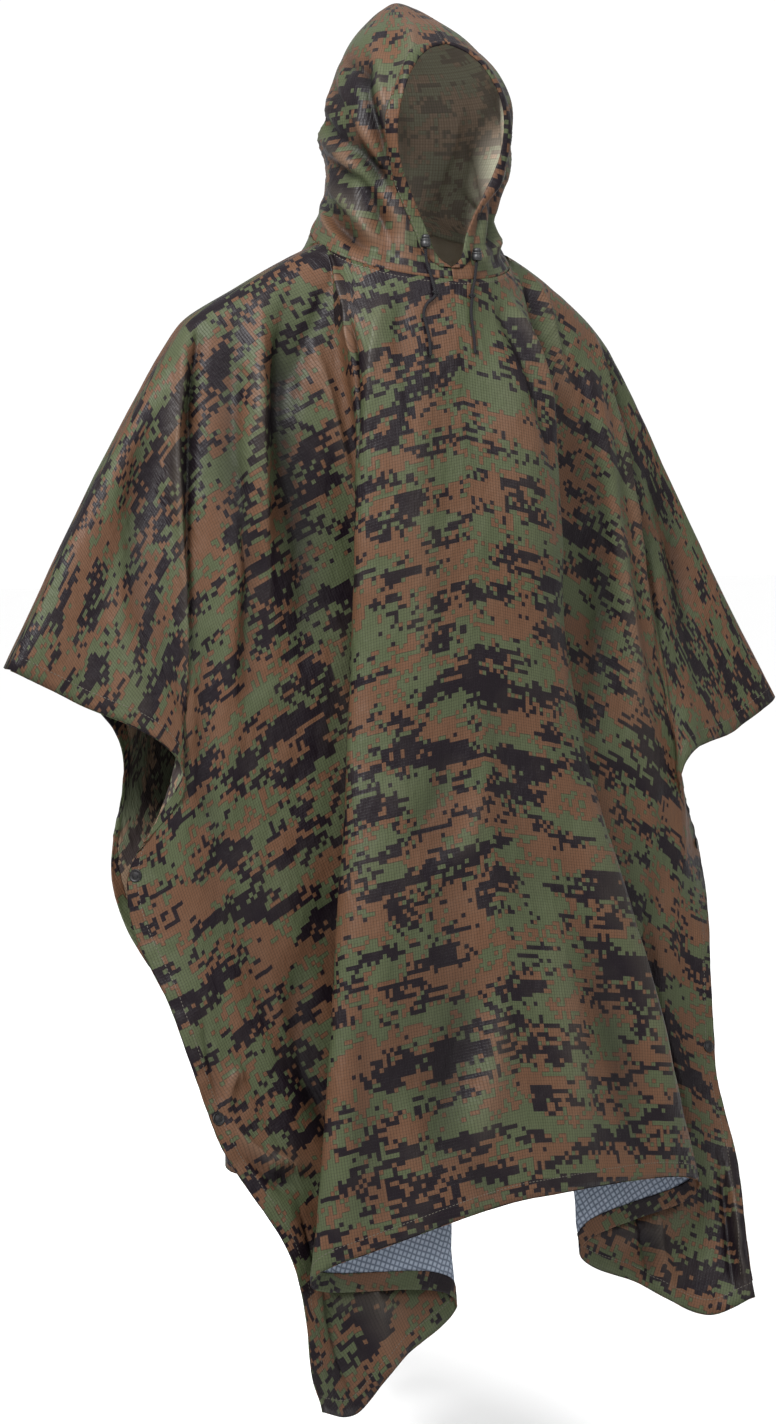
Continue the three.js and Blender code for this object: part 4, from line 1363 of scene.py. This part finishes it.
def build_hood(side):
    """One half of the hood: points in metres, flat places, normals, heights of its rings and creases."""
    points, degrees, up = hood_points(side)
    flat = np.stack([np.radians(degrees) * HOOD_RADIUS * side, up], axis=-1) * MM
    fine, gather = [
        wave["height"] * slow_noise(flat[..., 0], flat[..., 1], wave["across"], wave["along"], side * seed)
        for wave, seed in ((HOOD_WRINKLE, 3.0), (HOOD_GATHER, 7.0))
    ]
    gather = gather * np.exp(-(((up - HOOD_GATHER["up"]) / HOOD_GATHER["reach"]) ** 2))
    calm = fade("neck", up) * fade("crown", up, -1) * fade("face", degrees)
    seam_calm = fade("back seam", degrees, -1) * clear_of_cords(points)
    height = ((hood_heights(side, degrees, up) + fine) * calm + gather) * seam_calm
    points += normals(points, side < 0) * height[..., None]
    falls = (seam_fall(points), (0, -SEAM_ALLOWANCE * MM), -SEAM_ALLOWANCE, 0)
    grids = (points, flat, up[:, 0], height)
    # the lowest row once more below itself, as the seam's allowance
    points, flat, up, height = [np.concatenate([grid[:1] + fall, grid]) for grid, fall in zip(grids, falls)]
    out = normals(points, side < 0)
    out[-1] = (0, 0, 1)
    return {"points": points * MM, "flat": flat, "out": out, "up": up, "fold": height * HOOD_TROUGH}


HOOD_PRINT_SHIFT = np.array([0.4, 1.7])  # metres, so that the hood shows another stretch of the print
hoods = {"right": build_hood(-1), "left": build_hood(1)}
for side, hood in hoods.items():
    flat = hood["flat"] + HOOD_PRINT_SHIFT * (1 if side == "right" else -1, 1)
    make_cloth(f"hood_{side}", hood, flat, side == "right", hood_inside, f"hood_{side}")

# %% [markdown]
# ## The casing round the face
#
# A strip is turned round the face edge and sewn down to make a tunnel for the drawcord. It stands up a little
# in its middle, over the cord, and it wraps round the edge to the inside.

# %% Casing strips
# distance from the face edge and lift over the hood's outer face
CASING_SECTION = [
    (1.0, -1.6), (0.2, -1.3), (-0.8, -0.5), (-0.7, 0.6), (0.8, 1.5),
    (4, 2.3), (8, 2.5), (12, 1.9), (14.5, 0.9), (15.3, 0.35), (15.0, 0.1),
]


def hood_lines(hood, lowest, highest, to_face):
    """Grid lines of one hood half that end at the face and the crown, or at the seam behind."""
    rows = (hood["up"] >= lowest) & (hood["up"] <= highest)
    turn = slice(None, None, -1) if to_face else slice(None)
    return [hood[key][rows][:, turn] for key in ("points", "out", "flat")]


for side in hoods:
    section = [(distance, -lift) for distance, lift in CASING_SECTION]
    points, flat = strip_grid(hood_lines(hoods[side], 27.5, 243.5, True), section)
    points[..., 0] = np.sign(points[..., 0]) * np.maximum(np.abs(points[..., 0]), SEAM_HALF_GAP * MM)
    name = f"hood_casing_{side}"
    faces = grid_faces(*points.shape[:2], side == "left")
    strip = new_mesh(f"{name}_cloth", points, faces, flat + (0.9, 2.3), (printed_nylon,))
    thicken(strip, STRIP_THICKNESS, inside=0)
    pieces[name] = settle(strip, "hem_cloth", name)
    print(strip.name, len(faces), "quads")

# %% [markdown]
# ## The tape over the hood's seam
#
# The two halves of the hood meet edge to edge. On the real hood a flat seam closes them, and its turned edges
# lie inside. One strip inside stands for those edges, over the crown and down to the neck.

# %% Seam tape inside the hood
TAPE_STEPS = [7, 4, 1.5, 0.3]  # distances from the seam, on each half
TAPE_DEPTH = 1.5


def seam_tape(name, lowest, highest, to_face):
    """A strip from the right half over the seam to the left half."""
    section = [(step, TAPE_DEPTH) for step in TAPE_STEPS]
    right, left = [strip_grid(hood_lines(hoods[side], lowest, highest, to_face), section) for side in hoods]
    points, flat = [np.concatenate([one, other[::-1]]) for one, other in zip(right, left)]
    strip = new_mesh(name, points, grid_faces(*points.shape[:2], to_face), flat + (1.3, 3.1), (hood_inside,))
    return settle(thicken(strip, STRIP_THICKNESS, inside=0), "hem_cloth")


tapes = [
    seam_tape("seam_tape_crown", 246, 300, True),
    seam_tape("seam_tape_nape", 10, 300, False),
]
print("seam tapes:", [tape.name for tape in tapes])

# %% [markdown]
# ## Cords, knots, locks and snaps
#
# The knot is an overhand knot pulled tight: a short tube along a three-lobed path. The lock is a moulded
# barrel with a spring button. The snap cap is pressed metal with a rolled rim.

# %% Finishes of the small parts
BRAID_PITCH = 2600


def cord_finish():
    finish = Finish("braided_cord", Roughness=0.85, Specular_IOR_Level=SHEEN)
    width, _, height = [part * BRAID_PITCH for part in finish.split(finish.place())]
    braid = (height + width).cosine().larger((height - width).cosine())
    finish.set("Base Color", finish.mix(braid * 0.4 + 0.3, linear(9, 9, 10), linear(30, 29, 31)))
    finish.bump(braid * 0.0002)
    return finish.material


def plastic_finish():
    finish = Finish("black_plastic", Specular_IOR_Level=0.3)
    grain = finish.noise(finish.place(), 900.0, 3.0)
    finish.set("Base Color", finish.mix(grain * 0.5, linear(8, 8, 9), linear(20, 20, 22)))
    finish.set("Roughness", 0.38 + grain * 0.2)
    finish.bump(grain * 0.0001)
    return finish.material


def snap_finish():
    finish = Finish("blackened_snap", Metallic=0.9)
    wear = finish.noise(finish.place(), 420.0, 4.0, 0.6)
    finish.set("Base Color", finish.mix((wear - 0.3) * 0.9, linear(16, 16, 18), linear(58, 56, 54)))
    finish.set("Roughness", 0.35 + wear * 0.25)
    return finish.material


def thread_finish():
    finish = Finish("sewing_thread", Roughness=0.7)
    ply = finish.noise(finish.place(), 1500.0)
    finish.set("Base Color", finish.mix(ply, linear(26, 23, 17), linear(56, 50, 37)))
    return finish.material


braided_cord, black_plastic = cord_finish(), plastic_finish()
blackened_snap, sewing_thread = snap_finish(), thread_finish()
print("small finishes made")


# %% Turned shapes and tubes
def turned(name, profile, finish, place, axis=(0, 0, 1), steps=36):
    """A solid turned from (radius, height) points in mm, with its axis through place."""
    profile = np.array(profile, float) * MM
    turns = np.linspace(0, FULL_TURN, steps, endpoint=False)
    rings = [np.stack([r * np.cos(turns), r * np.sin(turns), np.full(steps, h)], axis=-1) for r, h in profile]
    points = np.array(rings).reshape(-1, 3)
    number = np.arange(len(points)).reshape(len(profile), steps)
    after = np.roll(number, -1, axis=1)
    faces = np.stack([number[:-1], after[:-1], after[1:], number[1:]], axis=-1).reshape(-1, 4)
    turn = Vector((0, 0, 1)).rotation_difference(Vector(axis)).to_matrix()
    thing = new_mesh(name, points @ np.array(turn).T + np.array(place), faces, None, (finish,))
    merge_close(thing)
    return thing


def tube(name, path, radius, finish, sides=10):
    """A closed tube along a closed path."""
    along = unit(np.roll(path, -1, axis=0) - np.roll(path, 1, axis=0))
    over = unit(np.cross(along, TUBE_UP))
    beside = np.cross(along, over)
    turns = np.linspace(0, FULL_TURN, sides, endpoint=False)[None, :, None]
    points = path[:, None] + radius * (over[:, None] * np.cos(turns) + beside[:, None] * np.sin(turns))
    number = np.arange(len(path) * sides).reshape(len(path), sides)
    after = np.roll(number, -1, axis=0)
    faces = np.stack([number, after, np.roll(after, -1, axis=1), np.roll(number, -1, axis=1)], axis=-1)
    return new_mesh(name, points, faces.reshape(-1, 4), None, (finish,))


def join(name, things):
    """Joins meshes into one object."""
    with bpy.context.temp_override(active_object=things[0], selected_editable_objects=things):
        bpy.ops.object.join()
    things[0].name = name
    return things[0]


TUBE_UP = (0.31, 0.22, 0.92)  # any direction that no stretch of the knot runs in
KNOT_TUBE = 1.55 * MM
KNOT_SIZE = 0.95 * MM
LOCK_PROFILE = [
    (0, -7.4), (3.6, -7.4), (4.9, -7.1), (5.7, -6.0), (6.0, -4.4), (6.0, -1.0), (5.6, -0.6), (5.6, 0.0),
    (6.0, 0.4), (6.0, 1.8), (5.4, 2.4), (4.6, 2.7), (0, 2.7),
]
BUTTON_PROFILE = [(0, 2.6), (4.4, 2.6), (4.7, 3.2), (4.7, 5.4), (4.3, 6.4), (3.3, 7.1), (1.6, 7.4), (0, 7.45)]


def knot_loops():
    """A trefoil path round the origin, flattened to the cord's front."""
    t = np.linspace(0, FULL_TURN, 72, endpoint=False)
    across, up = np.sin(t) + 2 * np.sin(2 * t), 0.75 * (np.cos(t) - 2 * np.cos(2 * t))
    return np.stack([across, -1.1 * np.sin(3 * t), up], axis=-1)


for side in cords:
    knot_middle = np.array(CORD_ROUTES[side][KNOT_POINT]) * MM
    knot = tube(f"knot_{side}", knot_middle + knot_loops() * KNOT_SIZE, KNOT_TUBE, braided_cord)
    settle(knot, "drawcord", f"cord_knot_{side}")
    place = np.array(LOCK_PLACES[side]) * MM
    profiles = {"barrel": LOCK_PROFILE, "button": BUTTON_PROFILE}
    parts = [turned(part, profile, black_plastic, place) for part, profile in profiles.items()]
    lock = join(f"lock_{side}", parts)
    settle(lock, "cord_lock", f"cord_lock_{side}")
    cord, path = cords[side]
    cord.data.materials.append(braided_cord)
    settle(cord, "drawcord", f"cord_upper_{side}", f"cord_lower_{side}")
    print(f"cord {side}: {path_length(path):.3f} m")

# %% [markdown]
# ## Snap caps
#
# Two snaps a side close the edges. Each cap sits on the front panel, on the turned hem.

# %% Snaps on the side edges
SNAP_PROFILE = [
    (0, -0.3), (7.0, -0.3), (7.5, 0.1), (7.5, 0.8), (7.1, 1.35), (6.4, 1.5), (5.7, 1.2), (5.2, 0.95),
    (3.6, 1.25), (1.6, 1.45), (0, 1.5),
]
SNAP_ROWS = {"upper": 3, "lower": 5}
SNAP_INSET = 12.5 * MM  # from the side edge to the snap's middle
SNAP_LIFT = 0.25
for level, table_row in SNAP_ROWS.items():
    row = int(np.argmin(np.abs(front["row"] - table_row)))
    for side in ("right", "left"):
        lines = [grid[row : row + 1] for grid in edge_lines(front, side)]
        spot, beside = [at_distance(lines, SNAP_INSET, -(SNAP_LIFT + above) * MM)[0][0] for above in (0, 1)]
        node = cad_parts[f"snap_{level}_{side}"]
        solid_middle = np.mean(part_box(node.name), axis=0)
        cap = turned(f"snap_cap_{level}_{side}", SNAP_PROFILE, blackened_snap, spot, beside - spot)
        settle(cap, "snap_metal", node.name)
        print(cap.name, "from its solid:", (np.linalg.norm(spot - solid_middle) * 1000).round(1), "mm")

# %% [markdown]
# ## Sewing
#
# Each stitch is a small rounded bar that lies on the cloth. A row of them follows the hem at the same
# distance from the edge, and the whole row is one mesh.

# %% Rows of stitches
STITCH = {"length": 2.9 * MM, "gap": 1.5 * MM, "width": 0.75 * MM, "height": 0.3 * MM}
STITCH_END = 0.4 * MM  # how far from its ends a stitch has its full width
HEM_STITCH_DISTANCE = 17
STITCH_SKIP = 4  # grid lines left out at each end of a side hem
# name of the row, heights from and to, whether it follows the face or the back seam, distance, lift
HOOD_SEAMS = [
    ("casing", 34, 240, True, 13.2, 1.35),
    ("crown", 246, 296, True, 4, 0),
    ("nape", 20, 296, False, 4, 0),
]


def stitch_row(name, line, out):
    """Stitches along a line of points that lie on the cloth."""
    lengths = lengths_along(line)
    step = STITCH["length"] + STITCH["gap"]
    starts = np.arange(step / 2, lengths[-1] - step, step)
    first, last = read_off(starts, lengths, line), read_off(starts + STITCH["length"], lengths, line)
    up = unit(read_off(starts + STITCH["length"] / 2, lengths, out))
    along = unit(last - first)
    beside = np.cross(up, along) * STITCH["width"] / 2
    middle = (first + last) / 2 + up * STITCH["height"]
    near, far = first + along * STITCH_END, last - along * STITCH_END
    corners = [first, near + beside, middle + beside, far + beside, last, far - beside, middle - beside]
    corners += [near - beside, middle + up * STITCH["height"] * 0.6]
    points = np.stack(corners, axis=1)
    fan = np.array([[i, (i + 1) % 8, 8] for i in range(8)])
    faces = (fan[None] + 9 * np.arange(len(starts))[:, None, None]).reshape(-1, 3)
    row = new_mesh(name, points, faces, None, (sewing_thread,))
    print(name, len(starts), "stitches")
    return settle(row, "hem_cloth")


def neck_lines(panel):
    """Grid lines of a panel that end at the neck seam."""
    near = np.where(panel["column"] < NECK_SEAM_SHARE)[0]
    return [panel[key].transpose(1, 0, 2)[near][:, ::-1] for key in ("points", "out", "flat")]


def stitch_along(name, lines, distance, lift=0):
    """Stitches at a distance in mm from where the lines end."""
    line, outer = [at_distance(lines, distance * MM, -(lift + above) * MM)[0] for above in (0, 1)]
    return stitch_row(name, line, outer - line)


stitches = {}
for title, (panel, outward) in PANELS.items():
    stitches[title, "neck"] = stitch_along(f"stitches_{title}_neck", neck_lines(panel), 5)
for side, hood in hoods.items():
    for seam, lowest, highest, to_face, distance, lift in HOOD_SEAMS:
        lines = hood_lines(hood, lowest, highest, to_face)
        stitches[side, seam] = stitch_along(f"stitches_{seam}_{side}", lines, distance, lift)
for title, (panel, outward) in PANELS.items():
    for edge in ("hem", "right", "left"):
        skip = 0 if edge == "hem" else STITCH_SKIP
        lines = [grid[skip : len(grid) - skip] for grid in edge_lines(panel, edge)]
        stitches[title, edge] = stitch_along(f"stitches_{title}_{edge}", lines, HEM_STITCH_DISTANCE)

# %% [markdown]
# ## The cloth pieces
#
# The poncho's body is one rectangle, 1.45 m by 2.2 m, with a neck hole. Here the cloth pieces are counted.

for side in hoods:
    sewn = [stitches[side, seam] for seam in ("casing", "crown", "nape")] + (tapes if side == "right" else [])
print("sheets declared:", len(pieces))

# %% Print the two boxes and finish
visual_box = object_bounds()
for solid, visual in zip(solid_box, visual_box):
    print("box corner:", [round(x, 4) for x in solid], "->", [round(x, 4) for x in visual])
